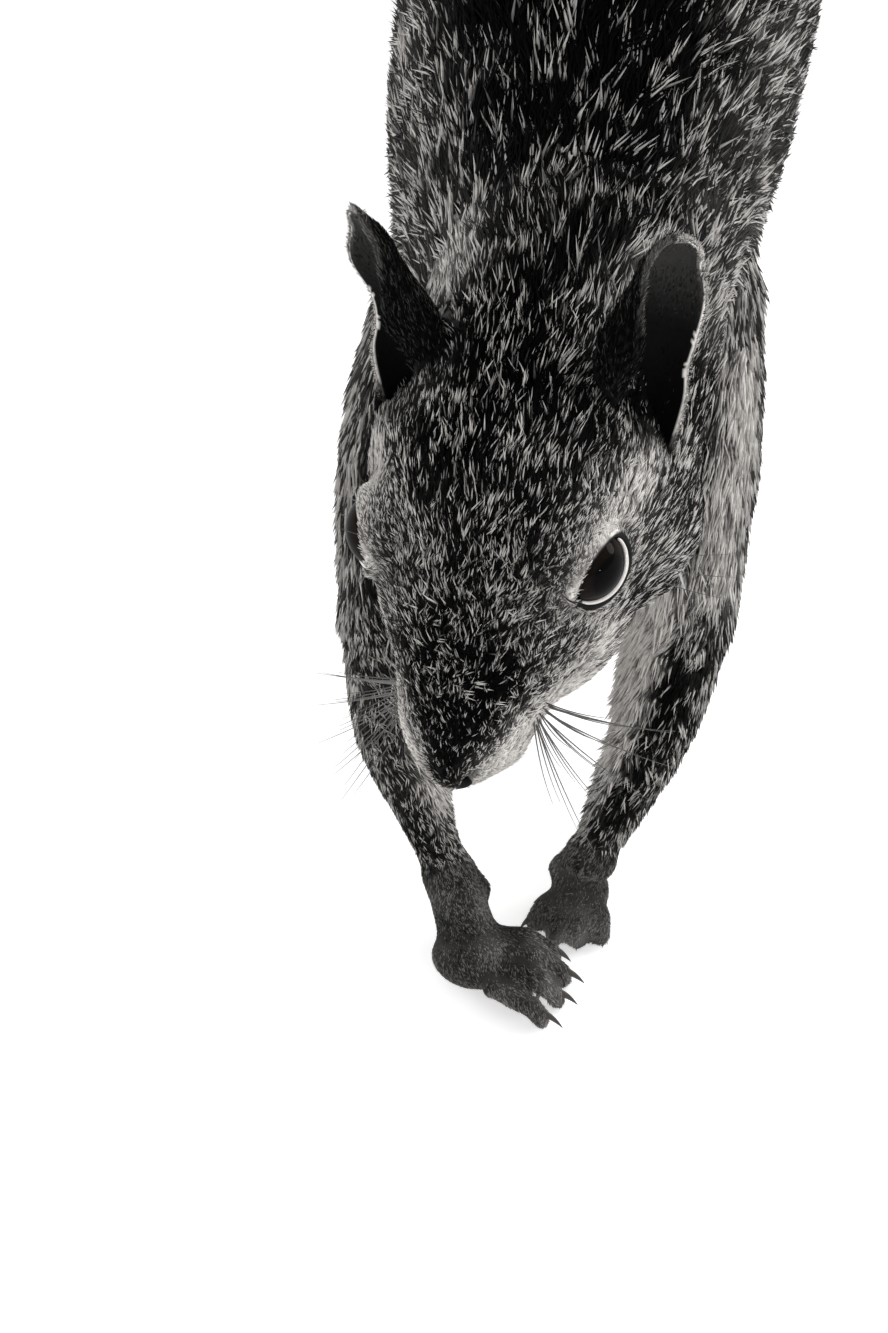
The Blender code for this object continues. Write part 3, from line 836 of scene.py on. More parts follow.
def markings(points, normals, pale, nodes):
    """How pale the coat is, from 0, black, to 1, white."""
    head = mirrored(in_head(points))
    trunk = on(nodes, "neck", "chest", "waist", "hips")
    # belly, throat and the insides of the limbs
    under = ramp(-normals[:, 2], 0.25, 0.8) * ramp(points[:, 2], 6, 16)
    pale = pale + 0.75 * under * (trunk | on(nodes, "head", "upper_arm", "thigh"))
    # the face: its marks, the underside of the muzzle, the pale lip line, and a painted rim light down each
    # side
    face = sum(much * spot(head, *place) for much, *place in HEAD_MARKS)
    face += 0.68 * ramp(head[:, 2], 1.2, -2.4) * ramp(head[:, 1], 24, 13)
    face += 0.50 * band(head, FACE_RIM_LIGHT_BAND, 1.9) + 0.60 * band(head, LIP_EDGE, 2.5)
    pale += face * ramp(head[:, 1], 66, 56) * on(nodes, "head", "neck", "ear")
    pale += sum(much * spot(head, *place) for much, *place in WIDE_MARKS)
    # painted rim light: flanks and arms paler where they face sideways; painted shade: the back darker where
    # it faces up
    rim_lit_side = ramp(np.abs(normals[:, 0]), 0.30, 0.95)
    pale += rim_lit_side * (0.22 * (trunk | on(nodes, "upper_arm")) + 0.12 * on(nodes, "forearm"))
    pale -= 0.14 * (1 - rim_lit_side) * trunk * ramp(points[:, 1], -178, -135)
    # the front and the inner side of the arms, and a painted rim light on the outer side of the right forearm
    pale += 0.55 * band(mirrored(points), ARM_BAND, 3.6) * on(nodes, "upper_arm", "forearm")
    pale += 0.90 * inner_arms(points, normals, nodes)
    pale += 0.17 * on(nodes, "forearm") * ramp(points[:, 0], -10, -16) * ramp(points[:, 2], 14, 24)
    # mottled paws, paler at the floor
    pale += on(nodes, "hand", "foot") * (0.17 * waves(points, 6.0, 21) + 0.30 * ramp(points[:, 2], 6.5, 1.5))
    return np.clip(pale, 0, 1)


def ear_marks(points, normals, nodes, found):
    """Sets the coat of the ears: a white fringe, short hair inside, and a hollow painted black as shade."""
    for side, tag in SIDES:
        mine = np.flatnonzero(nodes == FLESH.index("ear_" + tag))
        places, notes, inward, around = EAR_SHEETS[tag]
        near = nearest_of(points[mine], places)
        share, v, edge = notes[near].T
        inner = ramp((normals[mine] * inward[near]).sum(1), -0.1, 0.3)
        rim = (1 - ramp(edge, 0.15, 0.70)) * ramp(share, -0.3, -0.1)
        rim *= np.where(v < 0, 0.45 * ramp(share, 0.0, 0.5), 1.0)
        # painted shade: the deep part of the cup near its base is painted black
        hollow = inner * ramp(share, 0.80, 0.20)
        outward = around[near] * np.sign(v)[:, None]
        upward = np.tile(ear_way(side), (len(mine), 1))
        edge_way = unit(blend(upward, outward, ramp(share, 1.0, 0.7)[:, None]) + 0.35 * upward)
        found["ways"][mine] = unit(blend(upward, edge_way, rim[:, None]))
        found["pale"][mine] = blend(blend(blend(0.12, 0.34, inner), 0.0, hollow), 1.0, rim)
        found["length"][mine] = blend(blend(1.6, 1.3, inner), 0.62, rim)
        found["width"][mine] = blend(blend(0.14, 0.10, inner), 0.14, rim)
        found["depth"][mine] = blend(blend(0.22, 0.10, inner), 0.18, rim)
        found["count"][mine] *= blend(blend(1.1, 0.6, inner), 3.6, rim) * (1 - 0.9 * hollow)


def waves(points, scale, seed):
    """A smooth uneven pattern about scale across, from -1 to 1."""
    made = np.random.default_rng(seed)
    total = np.zeros(len(points))
    for _ in range(7):
        total += np.sin(points @ (unit(made.normal(size=3)) * 2 * math.pi / scale) + made.uniform(0, 6.3))
    return np.clip(total / 3.2, -1, 1)


# ---------------------------------------------------------------- tufts

MOST_FACES = 195000
# the size of a tuft's own patch on the unwrap
PATCH = 0.003
# where a short tuft folds on its patch, and how deep a root stands in the skin
BLADE_BEND = 0.45
ROOT_SUNK = 0.25
# steps from root to root that spread them evenly over the triangles
EVEN_STEPS = (0.7548776662, 0.5698402910)


class Roots:
    """Where the tufts of one part of the coat stand, with what the skin knows there."""

    def __init__(self, nodes):
        wanted = np.isin(SKIN["nodes"], [FLESH.index(node) for node in nodes])
        tris = SKIN["tris"]
        weight = SKIN["areas"] * (SKIN["count"] * wanted)[tris].mean(1)
        total = int(weight.sum())
        edges = np.cumsum(weight)
        pick = np.searchsorted(edges, (np.arange(total) + RANDOM.random()) * edges[-1] / max(total, 1))
        pick = np.minimum(pick, len(tris) - 1)
        u, v = (np.arange(total) * step % 1 for step in EVEN_STEPS)
        flip = u + v > 1
        u, v = np.where(flip, 1 - u, u), np.where(flip, 1 - v, v)
        share = np.stack([1 - u - v, u, v], 1)
        self.size = total
        self.nodes = SKIN["nodes"][tris[pick, 0]]
        for name in ("points", "normals", "ways", "depth", "length", "width", "pale", "wild"):
            setattr(self, name, np.einsum("nk,nk...->n...", share, SKIN[name][tris[pick]]))
        self.normals = unit(self.normals)
        self.ways = unit(self.ways - self.normals * (self.ways * self.normals).sum(1, keepdims=True))


def nearest_of(points, seeds):
    tree = KDTree(len(seeds))
    for i, seed in enumerate(seeds.tolist()):
        tree.insert(seed, i)
    tree.balance()
    return np.array([tree.find(p)[1] for p in points.tolist()])


def unwrap(roots, nodes):
    """Each root's place on an unwrap of the skin: round and along each part of the body, side by side."""
    places = np.zeros((roots.size, 2))
    for column, node in enumerate(nodes):
        mine = roots.nodes == FLESH.index(node)
        low, high = corners(node)
        long = int(np.argmax(high - low))
        wide, tall = [i for i in range(3) if i != long]
        spots = roots.points[mine] - (low + high) / 2
        round_it = np.arctan2(spots[:, tall], spots[:, wide]) / (2 * math.pi) + 0.5
        places[mine, 0] = (column + 0.02 + 0.96 * round_it) / len(nodes)
        places[mine, 1] = np.clip((roots.points[mine, long] - low[long]) / (high - low)[long], 0, 1)
    return PATCH + places * (1 - 3 * PATCH)


def blade():
    """The faces of a short tuft, a folded blade, and each corner's place on its patch."""
    root, far_root, tip, far_tip = (0.25, 0), (0.75, 0), (0.25, 1), (0.75, 1)
    left, fold, right = (0, BLADE_BEND), (0.5, BLADE_BEND), (1, BLADE_BEND)
    faces = ((0, 1, 2), (1, 3, 2), (0, 3, 1), (0, 2, 3))
    spots = ((root, left, fold), (left, tip, fold), (far_root, far_tip, fold), (far_root, right, far_tip))
    return np.array(faces), np.array(spots)


def spindle(rings):
    """The same for a long tuft, three-sided, with rings of corners between its root and its tip."""
    tip = 3 * len(rings) + 1
    faces, spots = [], []
    for i in range(3):
        j = (i + 1) % 3
        left, right, centre = i / 3, (i + 1) / 3, (i + 0.5) / 3
        faces.append((0, 1 + i, 1 + j))
        spots.append(((centre, 0), (left, rings[0]), (right, rings[0])))
        for number in range(len(rings) - 1):
            low, high = 1 + 3 * number, 4 + 3 * number
            near, far = rings[number], rings[number + 1]
            faces.append((low + i, high + i, high + j))
            spots.append(((left, near), (left, far), (right, far)))
            faces.append((low + i, high + j, low + j))
            spots.append(((left, near), (right, far), (right, near)))
        last = tip - 3
        faces.append((tip, last + j, last + i))
        spots.append(((centre, 1), (right, rings[-1]), (left, rings[-1])))
    return np.array(faces), np.array(spots)


def tuft_lines(roots, clump, wild, shares):
    """Each tuft's bent middle line at the shares of its length, its tip, its clump, and how many clumps."""
    size = roots.size
    across = unit(np.cross(roots.ways, roots.normals))
    seeds = RANDOM.permutation(size)[: max(1, int(size / clump[0]))]
    owner = nearest_of(roots.points, roots.points[seeds])
    swing = wild * (0.6 * waves(roots.points, 6.0, 3) + 0.5 * RANDOM.normal(size=size))
    swing = (swing + wild * 0.7 * RANDOM.normal(size=len(seeds))[owner]) * roots.wild
    ways = roots.ways * np.cos(swing)[:, None] + across * np.sin(swing)[:, None]
    length = roots.length * RANDOM.uniform(0.6, 1.15, size)
    lift = roots.depth * RANDOM.uniform(0.45, 1.0, size)
    tips = roots.points + ways * length[:, None] + roots.normals * lift[:, None]
    away = tips[seeds][owner] - tips
    near = np.linalg.norm(away, axis=1) < 0.6 * length + 1
    tips = tips + away * (clump[1] * RANDOM.uniform(0.4, 1.0, size) * near)[:, None]
    bow = 0.16 * roots.depth + 0.05 * length
    line = []
    for share in shares:
        level = blend(roots.points - roots.normals * ROOT_SUNK, tips, share)
        line.append(level + roots.normals * (bow * 4 * share * (1 - share))[:, None])
    line = np.stack(line, 1)
    line[..., 2] = np.maximum(line[..., 2], 0.15)
    return line, tips, owner, len(seeds)


def tuft_corners(roots, line, tips, rings):
    """The corners of each tuft: its root, two or three round each ring, and its tip."""
    across = unit(np.cross(tips - roots.points, roots.normals))
    half = 0.5 * roots.width * RANDOM.uniform(0.6, 1.25, roots.size)
    points = [line[:, :1]]
    for number, share in enumerate(rings):
        # narrow at the root, full at a third, and tapering to the tip
        shape = (1.0 - 0.55 * max(0.0, share - 0.42) / 0.58) * min(1.0, share / 0.3)
        ring = line[:, number + 1]
        aside = across * (half * shape)[:, None]
        ridge = roots.normals * (half * shape)[:, None]
        if len(rings) == 1:
            points.append(np.stack([ring - aside, ring + aside], 1) + 0.5 * ridge[:, None])
        else:
            low = ring - 0.24 * ridge
            points.append(np.stack([low - aside, low + aside, ring + 0.8 * ridge], 1))
    points = np.concatenate([*points, line[:, -1:]], 1)
    points[..., 2] = np.maximum(points[..., 2], 0.02)
    return points


def grow(name, nodes, clump, wild, shared, top=1.0, even=0.0, rings=(0.42,)):
    """One part of the coat: curved, pointed, closed tufts over the skin of the nodes.

    clump is how many tufts lean together and how far, wild how far they swing aside, and shared how much
    of a tuft's colour is its clump's. top is how bright the palest tips of a dark coat are, and even how
    evenly its tips run from dark to bright.
    """
    roots = Roots(nodes)
    shares = (0.0, *rings, 1.0)
    line, tips, owner, clumps = tuft_lines(roots, clump, wild, shares)
    points = tuft_corners(roots, line, tips, rings)
    faces, spots = blade() if len(rings) == 1 else spindle(rings)
    # turn the faces outwards
    a, b, c = (points[:200][:, faces[:, i]] - points[:200, :1] for i in range(3))
    if (np.cross(a, b) * c).sum() < 0:
        faces, spots = faces[:, ::-1], spots[:, ::-1]
    colours = tuft_colours(roots, owner, clumps, shares, shared, top, even)
    colours = np.repeat(colours, [1] + [2 if len(rings) == 1 else 3] * len(rings) + [1], axis=1)
    places = unwrap(roots, nodes)
    parts = math.ceil(roots.size * len(faces) / MOST_FACES)
    for part in range(parts):
        mine = slice(part, None, parts)
        label = name if parts == 1 else f"{name}_{part + 1}"
        piece = tuft_piece(label, points[mine], faces, colours[mine], places[mine], spots)
        piece.data.materials.append(COAT_FINISH)
        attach(piece, "root")


def paint(mesh, colours):
    """Gives each corner of a mesh the colour that its finish reads."""
    rgba = np.ones((len(mesh.vertices), 4), np.float32)
    rgba[:, :3] = colours.reshape(-1, 3)
    mesh.color_attributes.new("coat", "FLOAT_COLOR", "POINT").data.foreach_set("color", rgba.ravel())


def tuft_piece(name, points, faces, colours, places, spots):
    size, wide = points.shape[:2]
    corners_all = (np.arange(size)[:, None, None] * wide + faces[None]).reshape(-1)
    mesh = bpy.data.meshes.new(name)
    mesh.vertices.add(size * wide)
    mesh.vertices.foreach_set("co", (points * MM).astype(np.float32).ravel())
    mesh.loops.add(len(corners_all))
    mesh.loops.foreach_set("vertex_index", corners_all.astype(np.int32))
    count = size * len(faces)
    mesh.polygons.add(count)
    mesh.polygons.foreach_set("loop_start", (np.arange(count) * 3).astype(np.int32))
    mesh.polygons.foreach_set("use_smooth", np.ones(count, bool))
    layer = mesh.uv_layers.new(name="OFBake")
    uv = places[:, None, None, :] + PATCH * spots[None]
    layer.uv.foreach_set("vector", uv.astype(np.float32).ravel())
    paint(mesh, colours)
    mesh.update()
    return put(name, mesh)


WARM = np.array((1.0, 0.965, 0.925))


def tuft_colours(roots, owner, clumps, shares, shared, top, even):
    """Black at the root, and towards the tip anything from black to white, paler where the coat is pale."""
    luck = (1 - shared) * RANDOM.random(roots.size) + shared * RANDOM.random(clumps)[owner]
    spread = math.hypot(1 - shared, shared)
    luck = 0.5 + (luck - 0.5) / spread + 0.10 * waves(roots.points, 9.0, 11)
    pale = np.clip(roots.pale + 0.05 * waves(roots.points, 14.0, 5), 0, 1)
    bright = ramp(luck, (0.80 - 0.85 * pale) * (1 - even), 1.00 - 0.60 * pale)
    low = blend(0.0010, 0.20, pale**2.2)
    high = blend(0.66 * top, 0.95, pale ** (3 - 2 * top))
    tips = blend(low * 1.6, high, bright)
    levels = [blend(low * 0.4, tips, ramp(share, 0.0, 0.75)) for share in shares]
    return np.stack(levels, 1)[..., None] * WARM


def fill(tree, made, **sockets):
    """Sets a node's sockets, each to a value or from another node's output."""
    for name, value in sockets.items():
        socket = made.inputs[name.replace("_", " ")]
        if isinstance(value, bpy.types.NodeSocket):
            tree.links.new(value, socket)
        else:
            socket.default_value = value


def node(tree, kind, place, **sockets):
    made = tree.nodes.new("ShaderNode" + kind)
    made.location = place
    fill(tree, made, **sockets)
    return made


def start_finish(name, **sockets):
    finish = bpy.data.materials.new(name)
    finish.use_nodes = True
    surface = finish.node_tree.nodes["Principled BSDF"]
    fill(finish.node_tree, surface, **sockets)
    return finish, finish.node_tree, surface


def attribute(tree, name, output):
    read = node(tree, "Attribute", (-900, 100))
    read.attribute_name = name
    return read.outputs[output]


def grain(tree, scale, detail, stretch=None):
    """Fine unevenness all through a piece."""
    where = node(tree, "TexCoord", (-1300, -200)).outputs["Object"]
    if stretch:
        where = node(tree, "Mapping", (-1100, -200), Vector=where, Scale=stretch).outputs["Vector"]
    return node(tree, "TexNoise", (-900, -200), Vector=where, Scale=scale, Detail=detail).outputs["Fac"]


def mix(tree, place, share, low, high):
    """A colour between two others."""
    mixed = node(tree, "Mix", place)
    mixed.data_type = "RGBA"
    fill(tree, mixed, Factor=share, A=low, B=high)
    return mixed.outputs["Result"]


def roughen(tree, surface, speckle, strength, distance):
    bump = node(tree, "Bump", (-450, -300), Height=speckle, Strength=strength, Distance=distance)
    fill(tree, surface, Normal=bump.outputs["Normal"])


def hair_finish(name, scale, detail, least, rough, specular):
    """Hair or underfur: the colour that each corner carries, broken up by fine grain."""
    finish, tree, surface = start_finish(name, Roughness=rough, Specular_IOR_Level=specular)
    speckle = grain(tree, scale, detail)
    uneven = node(tree, "MapRange", (-700, -200), Value=speckle, To_Min=least, To_Max=2 - least)
    mixed = node(tree, "VectorMath", (-450, 50))
    mixed.operation = "SCALE"
    tree.links.new(attribute(tree, "coat", "Color"), mixed.inputs[0])
    fill(tree, mixed, Scale=uneven.outputs["Result"])
    fill(tree, surface, Base_Color=mixed.outputs["Vector"])
    return finish, surface, speckle


def skin_finish():
    """Skin and underfur between the tufts, a little rough."""
    finish, surface, speckle = hair_finish("skin_underfur", 900, 4, 0.55, 0.62, 0.06)
    roughen(finish.node_tree, surface, speckle, 0.4, 0.0003)
    return finish


PUPIL = (0.0012, 0.0012, 0.0012, 1)
IRIS_DARK, IRIS_LIGHT = (0.0030, 0.0022, 0.0018, 1), (0.0090, 0.0060, 0.0045, 1)


def eye_finish():
    """A wet, nearly black eye with a dark brown iris."""
    finish, tree, surface = start_finish(
        "eye_wet", Roughness=0.15, Specular_IOR_Level=0, Coat_Weight=0.28, Coat_IOR=1.22, Coat_Roughness=0.02
    )
    iris = mix(tree, (-600, -100), grain(tree, 1600, 3), IRIS_DARK, IRIS_LIGHT)
    whole = mix(tree, (-350, 0), attribute(tree, "iris", "Fac"), PUPIL, iris)
    fill(tree, surface, Base_Color=whole)
    return finish


def plain_finish(name, low, high, scale, rough, specular, stretch=(1, 1, 1)):
    """A finish whose colour runs unevenly from low to high."""
    finish, tree, surface = start_finish(name, Roughness=rough, Specular_IOR_Level=specular)
    speckle = grain(tree, scale, 4, stretch)
    fill(tree, surface, Base_Color=mix(tree, (-400, 0), speckle, (*low, 1), (*high, 1)))
    roughen(tree, surface, speckle, 0.2, 0.0001)
    return finish


CLAW_DARK, CLAW_LIGHT = (0.010, 0.008, 0.007), (0.05, 0.042, 0.036)
COAT_FINISH, _, _ = hair_finish("coat_hair", 1400, 2, 0.7, 0.55, 0.01)
SKIN_FINISH = skin_finish()
EYE_FINISH = eye_finish()
CLAW_FINISH = plain_finish("claw_horn", CLAW_DARK, CLAW_LIGHT, 900, 0.35, 0.3, (1, 1, 3))
WHISKER_FINISH = plain_finish("whisker_hair", (0.02, 0.019, 0.018), (0.11, 0.105, 0.10), 700, 0.3, 0.6)
# painted reflection: the pale, glossy colour of the lower lid's moist rim
RIM_REFLECTION_FINISH = plain_finish("eye_rim_moist", (0.50, 0.47, 0.44), (0.72, 0.70, 0.68), 1500, 0.12, 0.8)
# painted shade: the near-black crease at the eye's front corner
CREASE_SHADE_FINISH = plain_finish("eye_crease_painted_shade", (0.002, 0.002, 0.002), (0.006, 0.005, 0.005), 1500, 0.3, 0.2)
FLOOR_FINISH = plain_finish("pale_floor", (0.90, 0.90, 0.90), (0.94, 0.94, 0.94), 30, 0.85, 0.1)
FLOOR_TREE = FLOOR_FINISH.node_tree
fill(FLOOR_TREE, FLOOR_TREE.nodes["Principled BSDF"], Emission_Color=(1, 1, 1, 1), Emission_Strength=0.45)


def finish_piece(item, finish, slot, *replaced):
    """Smooth, in metres, riding on the body, in place of the nodes replaced."""
    item.data.materials.clear()
    item.data.materials.append(finish)
    item.data.transform(Matrix.Scale(MM, 4))
    for face in item.data.polygons:
        face.use_smooth = True
    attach(item, "root")
    if replaced:
        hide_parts(*replaced)


def face_coat(points, coat):
    """Makes the coat shorter and finer towards the nose and round the eyes, and finer on the cheeks."""
    head = in_head(points)
    face = (0.35 * ramp(head[:, 1], 34, 16) + 0.65 * ramp(head[:, 1], 13, 3)) * (head[:, 1] < 60)
    far = np.min([np.linalg.norm(points - EYES[tag], axis=1) for _, tag in SIDES], axis=0)
    near_eye = 1 - ramp(far, EYE_RADIUS + 0.5, EYE_RADIUS + 4.0)
    short = np.maximum(0.60 * face, 0.62 * near_eye)
    cheek = spot(mirrored(head), (15.0, 28.0, 2.0), (7.0, 13.0, 9.0))
    coat["length"] *= 1 - short
    coat["width"] *= (1 - 0.45 * short / 0.68) * (1 - 0.30 * cheek)
    coat["depth"] *= 1 - 0.75 * short / 0.68
    coat["count"] *= (1 + 0.9 * short / 0.68) * (1 + 0.45 * cheek)
    coat["wild"] = 1 + 0.9 * ramp(head[:, 1], 30, 16) * (head[:, 1] < 60)


def tail_coat(points, nodes, coat):
    """Makes the tail's coat as deep as its flesh has shrunk."""
    centre, _, along = tail_place(points)
    tail = on(nodes, "tail")
    out = np.linalg.norm(points - centre, axis=1)
    coat["depth"] = np.where(tail, out * (1 / tail_share(along) - 1) * 0.92, coat["depth"])
    coat["length"] = np.where(tail, blend(10.0, 24.0, ramp(along, -0.02, 0.3)), coat["length"])


def bare_places(points):
    """Where nothing grows: the lids' edges, inside the eye, the nose pad and the soles. Also, how far each
    place is on the brow of an eye."""
    bare, brow = points[:, 2] < 0.45, np.zeros(len(points))
    bare |= np.linalg.norm((in_head(points) - (0, 0.5, -1.5)) / (2.5, 1.3, 1.5), axis=1) < 1
    for side, tag in SIDES:
        near, _, _, angle, beyond = round_eye(points, side, tag, EYE_RADIUS + 1.8)
        above = ramp(np.sin(angle), -0.35, 0.25)
        bare[near] |= beyond < blend(0.95, 0.20, above)
        brow[near] = above * np.exp(-(((beyond - 0.9) / 0.8) ** 2))
    return bare, brow


def read_skin(item):
    """What the coat needs to know at each corner of the skin."""
    nodes, coat, links = coat_fields(item, 40)
    points, normals = points_of(item), normals_of(item)
    soft = unit(links.soften(normals, 4))
    ways = links.soften(lie_of(points, nodes), 6)
    ways = links.soften(ways, 50, np.where(on(nodes, "ear", "hand", "foot"), 0.1, 1.0)[:, None])
    tris = np.array([tuple(face.vertices) for face in item.data.polygons])
    a, b, c = (points[tris[:, i]] for i in range(3))
    face_coat(points, coat)
    # longer and looser on the inner side of the arms
    fluff = inner_arms(points, soft, nodes)
    coat["depth"] += 1.7 * fluff
    coat["length"] *= 1 + 0.55 * fluff
    tail_coat(points, nodes, coat)
    bare, brow = bare_places(points)
    coat["count"][bare] = 0
    coat["length"] *= 1 - 0.45 * brow
    found = dict(coat, nodes=nodes, points=points, normals=soft, ways=unit(ways), tris=tris, bare=bare)
    found["areas"] = 0.5 * np.linalg.norm(np.cross(b - a, c - a), axis=1)
    found["pale"] = np.clip(markings(points, soft, coat["pale"], nodes) + 0.27 * brow, 0, 1)
    ear_marks(points, normals, nodes, found)
    return found


def both(*kinds):
    """The nodes of these kinds, left and right."""
    return tuple(f"{kind}_{tag}" for kind in kinds for _, tag in SIDES)


with editing(skin) as shape:
    bmesh.ops.triangulate(shape, faces=shape.faces)
SKIN = read_skin(skin)
SKIN_TREE = BVHTree.FromObject(skin, bpy.context.evaluated_depsgraph_get())

base = blend(0.002, 0.26, SKIN["pale"] ** 2.2) + 0.5 * ramp(SKIN["pale"], 0.85, 1.0)
base += 0.018 * on(SKIN["nodes"], "hand", "foot")
paint(skin.data, np.where(SKIN["bare"], 0.008, base)[:, None] * WARM)
finish_piece(skin, SKIN_FINISH, "fur", *FLESH)

grow("coat_head", ("head",), (4, 0.35), 0.32, 0.45)
grow("coat_ears", both("ear"), (3, 0.15), 0.25, 0.2, 0.12)
grow("coat_shoulders", ("neck", "chest"), (7, 0.45), 0.28, 0.5, 0.75)
grow("coat_back", ("waist", "hips", *both("thigh")), (7, 0.45), 0.24, 0.5, 0.75)
grow("coat_arms", both("upper_arm", "forearm"), (6, 0.4), 0.24, 0.45)
grow("coat_shanks", both("shank"), (6, 0.4), 0.22, 0.45)
grow("coat_paws", both("hand", "foot"), (5, 0.3), 0.22, 0.4, 0.42, 0.75)
grow("coat_tail", TAIL_NODES, (6, 0.45), 0.24, 0.4, rings=(0.3, 0.7))


# ---------------------------------------------------------------- eyes, claws and whiskers

# how far the pale rim of the moist lower lid, its paleness a painted reflection, stands inside the opening
RIM_INSIDE = 0.32
CLAW_THICK = {"hand": 0.58, "foot": 0.70}
# Hairs over the eye and on the cheek, in the head's frame: where each stands and how far it reaches.
LONE_WHISKERS = (
    ((9.0, 22.5, 14.0), (4.5, -1.5, 8.0)),
    ((8.0, 24.5, 14.5), (4.0, 2.5, 9.5)),
    ((16.5, 32.0, -1.0), (8.5, 2.5, -3.2)),
    ((16.6, 31.0, -2.6), (8.2, 1.5, -4.2)),
    ((16.2, 30.0, -4.0), (7.6, 0.5, -4.8)),
)


def make_eye(side, tag):
    """The ball, with a bulge in front and a mark where its iris shows."""
    out, along, _ = eye_axes(side)
    bpy.ops.object.select_all(action="DESELECT")
    bpy.ops.mesh.primitive_uv_sphere_add(segments=64, ring_count=40, radius=EYE_RADIUS)
    item = bpy.context.object
    item.name = "eyeball_" + tag
    turn = Matrix([[along[i], np.cross(out, along)[i], out[i]] for i in range(3)])
    points = points_of(item)
    high = points[:, 2] / EYE_RADIUS
    points *= (1 + 0.035 * ramp(high, 0.55, 1.0))[:, None]
    iris = ramp(high, 0.60, 0.68) * (1 - ramp(high, 0.84, 0.88))
    set_points(item, points)
    mark = item.data.attributes.new("iris", "FLOAT", "POINT")
    mark.data.foreach_set("value", iris.astype(np.float32))
    item.data.transform(Matrix.Translation(EYES[tag]) @ turn.to_4x4())
    finish_piece(item, EYE_FINISH, "eye", "eye_" + tag)


def make_eye_rim(side, tag):
    """A pale tube on the moist edge of the lower lid, against the ball, its paleness a painted reflection;
    and a near-black tube in the crease at its front corner, a painted shade.
    """
    line = []
    for angle in np.linspace(1.01, 2.03, 41) * math.pi:
        way = eye_way(side, angle, opening(angle, side) - RIM_INSIDE / EYE_RADIUS)
        line.append(EYES[tag] + way * (EYE_RADIUS + 0.15))
    radii = 0.08 + 0.36 * np.sin(np.linspace(0.1, math.pi - 0.1, 41)) ** 0.7
    finish_piece(tube("eye_rim_" + tag, line, radii, 8), RIM_REFLECTION_FINISH, "eye")
    out, along, up = eye_axes(side)
    # the crease runs up the side of the nose, painted near-black as shade
    run = up * 0.94 - along * 0.34 - out * 0.25
    crease = []
    for step in np.linspace(-0.2, 2.6, 9):
        stop, normal, _, _ = SKIN_TREE.find_nearest(line[0] + run * step)
        crease.append(np.array(stop) + 0.12 * np.array(normal))
    finish_piece(tube("eye_crease_painted_shade_" + tag, crease, np.linspace(0.20, 0.05, 9), 6), CREASE_SHADE_FINISH, "eye")


def make_claws(kind, side, tag):
    """Curved claws, one out of each digit."""
    items = []
    steps = np.linspace(0, 1, 10)[:, None]
    radii = CLAW_THICK[kind] * (1 - steps**1.6) + 0.05
    for _, knuckle, tip, end in digits_of(kind, side):
        start = blend(tip, knuckle, 0.12) + (0, 0, 0.25)
        end = blend(tip * (1, 1, 0) + (0, 0, 0.5), end, 0.78)
        line = blend(start, end, steps) + (0, 0, 2.4) * steps * (1 - steps)
        line[:, 2] = np.maximum(line[:, 2], 0.12)
        items.append(tube("claw", line, radii * (0.75, 1), 10))
    finish_piece(join(f"claws_{kind}_{tag}", items), CLAW_FINISH, "paw")


def whisker(side, root, run, thick, droop):
    """One whisker from its root on the skin, bending as it goes."""
    root, _, _, _ = SKIN_TREE.find_nearest(head_point(*(np.array(root) * (side, 1, 1))))
    run = HEAD_TURN @ (np.array(run) * (side, 1, 1))
    steps = np.linspace(0, 1, 9)[:, None]
    bend = np.cross(unit(run), (0, 0, 1.0)) * 0.4 + np.array((0, 0, -1.0))
    line = np.array(root) + run * steps + droop * bend * steps * (1 - steps)
    return tube("whisker", line, thick * (1 - steps[:, 0]) + 0.02, 5)


def make_whiskers():
    """Rows of whiskers on the muzzle, and a few over the eye and on the cheek."""
    items = []
    for side, _ in SIDES:
        for row in range(4):
            for column in range(5):
                t = column / 4
                root = (9.0 - 1.9 * t, 11.4 - 1.8 * t, -2.6 + 0.9 * (row - 1.5))
                run = blend(np.array((16.0, 0.3, -5.6)), np.array((8.4, -14.5, -6.6)), t + 0.06 * (row - 1.5))
                run = run * (1 - 0.14 * row) * RANDOM.uniform(0.8, 1.05) + (0, 0, 1.6 * (row - 1))
                items.append(whisker(side, root, run, 0.085, RANDOM.uniform(1.5, 3.0)))
        items += [whisker(side, root, run, 0.06, 1.0) for root, run in LONE_WHISKERS]
    finish_piece(join("whiskers", items), WHISKER_FINISH, "fur")


for side, tag in SIDES:
    make_eye(side, tag)
    make_eye_rim(side, tag)
    make_claws("hand", side, tag)
    make_claws("foot", side, tag)
make_whiskers()


# ---------------------------------------------------------------- camera, floor and lights

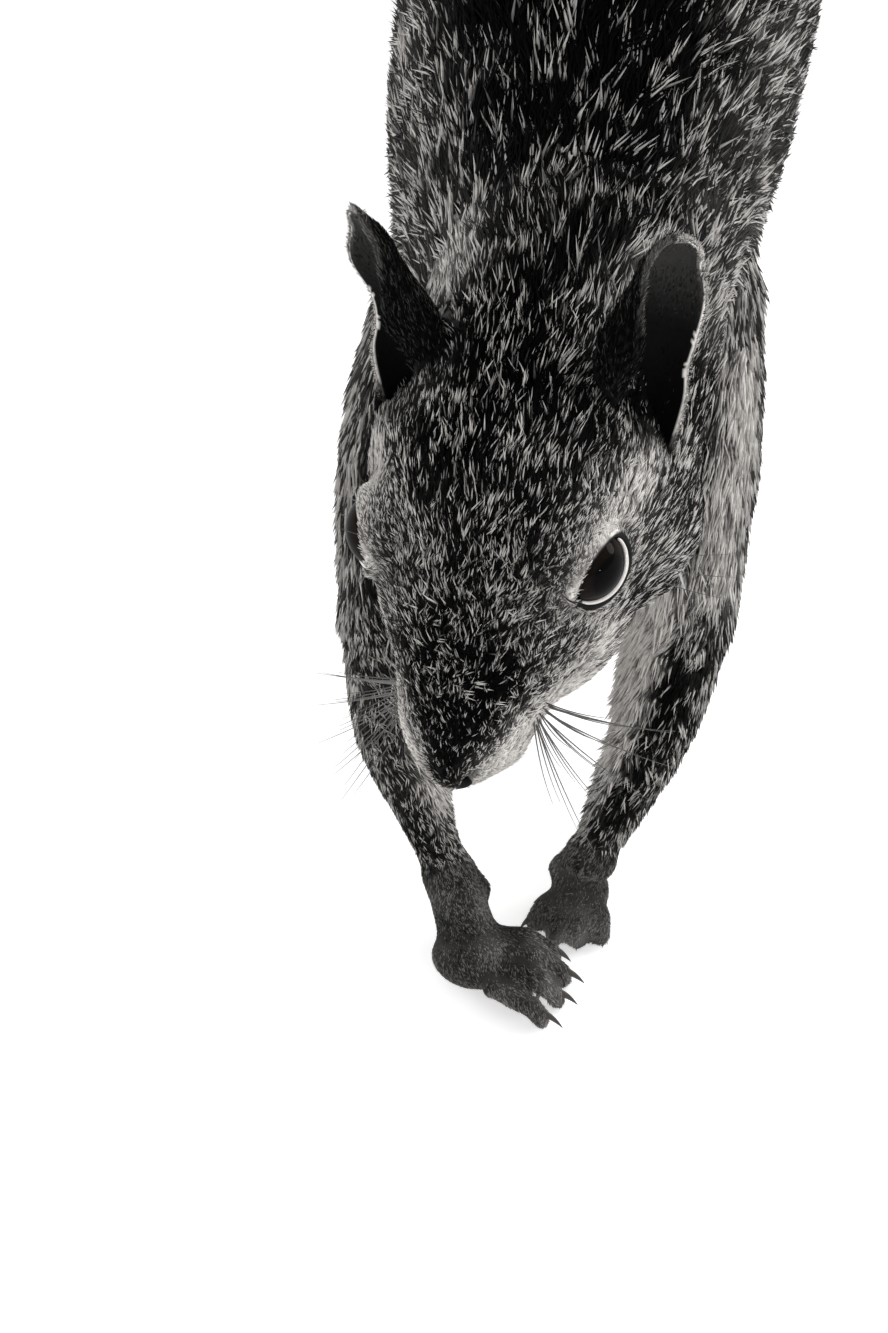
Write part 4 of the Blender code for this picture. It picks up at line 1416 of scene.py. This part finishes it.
CAMERA_TURN, CAMERA_TILT = math.radians(8), math.radians(50)
CAMERA_FAR, CAMERA_ASIDE, CAMERA_ABOVE = 450, -0.5, 13.2
LENS, SENSOR = 104.03, 36
# Suns: strength, direction from the squirrel, and how wide each is, in degrees.
SUNS = {
    "key": (0.9, (0.5, 0.45, 0.9), 35),
    "rim_left": (1.1, (0.9, 0.45, 0.3), 25),
    "rim_right": (1.1, (-0.9, 0.45, 0.3), 25),
    "glint": (0.25, (0.79, -0.585, 0.14), 1.5),
}


def make_camera():
    """The camera looks down on the head from in front, a little from the squirrel's left."""
    right = np.array((math.cos(CAMERA_TURN), math.sin(CAMERA_TURN), 0))
    front = np.array((math.sin(CAMERA_TURN), -math.cos(CAMERA_TURN), 0))
    back = front * math.cos(CAMERA_TILT) + np.array((0, 0, math.sin(CAMERA_TILT)))
    up = np.cross(back, right)
    stand = (NOSE + CAMERA_ASIDE * right + CAMERA_ABOVE * up + CAMERA_FAR * back) * MM
    data = bpy.data.cameras.new("camera")
    data.lens, data.sensor_width, data.clip_start = LENS, SENSOR, 0.01
    camera = put("camera", data)
    camera.matrix_world = Matrix([*np.column_stack([right, up, back, stand]), (0, 0, 0, 1)])
    bpy.context.scene.camera = camera


def make_stage():
    """White light from all round, and a wide pale floor."""
    world = bpy.data.worlds.new("studio")
    world.use_nodes = True
    fill(world.node_tree, world.node_tree.nodes["Background"], Color=(1, 1, 1, 1), Strength=0.75)
    bpy.context.scene.world = world
    bpy.ops.mesh.primitive_plane_add(size=30)
    floor = bpy.context.object
    floor.name = "floor"
    floor.data.materials.append(FLOOR_FINISH)


def make_light(name, energy, direction, wide):
    light = bpy.data.lights.new(name, "SUN")
    light.energy, light.angle = energy, math.radians(wide)
    lamp = put(name, light)
    lamp.location = direction
    lamp.rotation_euler = (-Vector(direction)).to_track_quat("-Z", "Y").to_euler()


make_camera()
make_stage()
for name, sun in SUNS.items():
    make_light(name, *sun)
bpy.context.scene.view_settings.view_transform = "Standard"
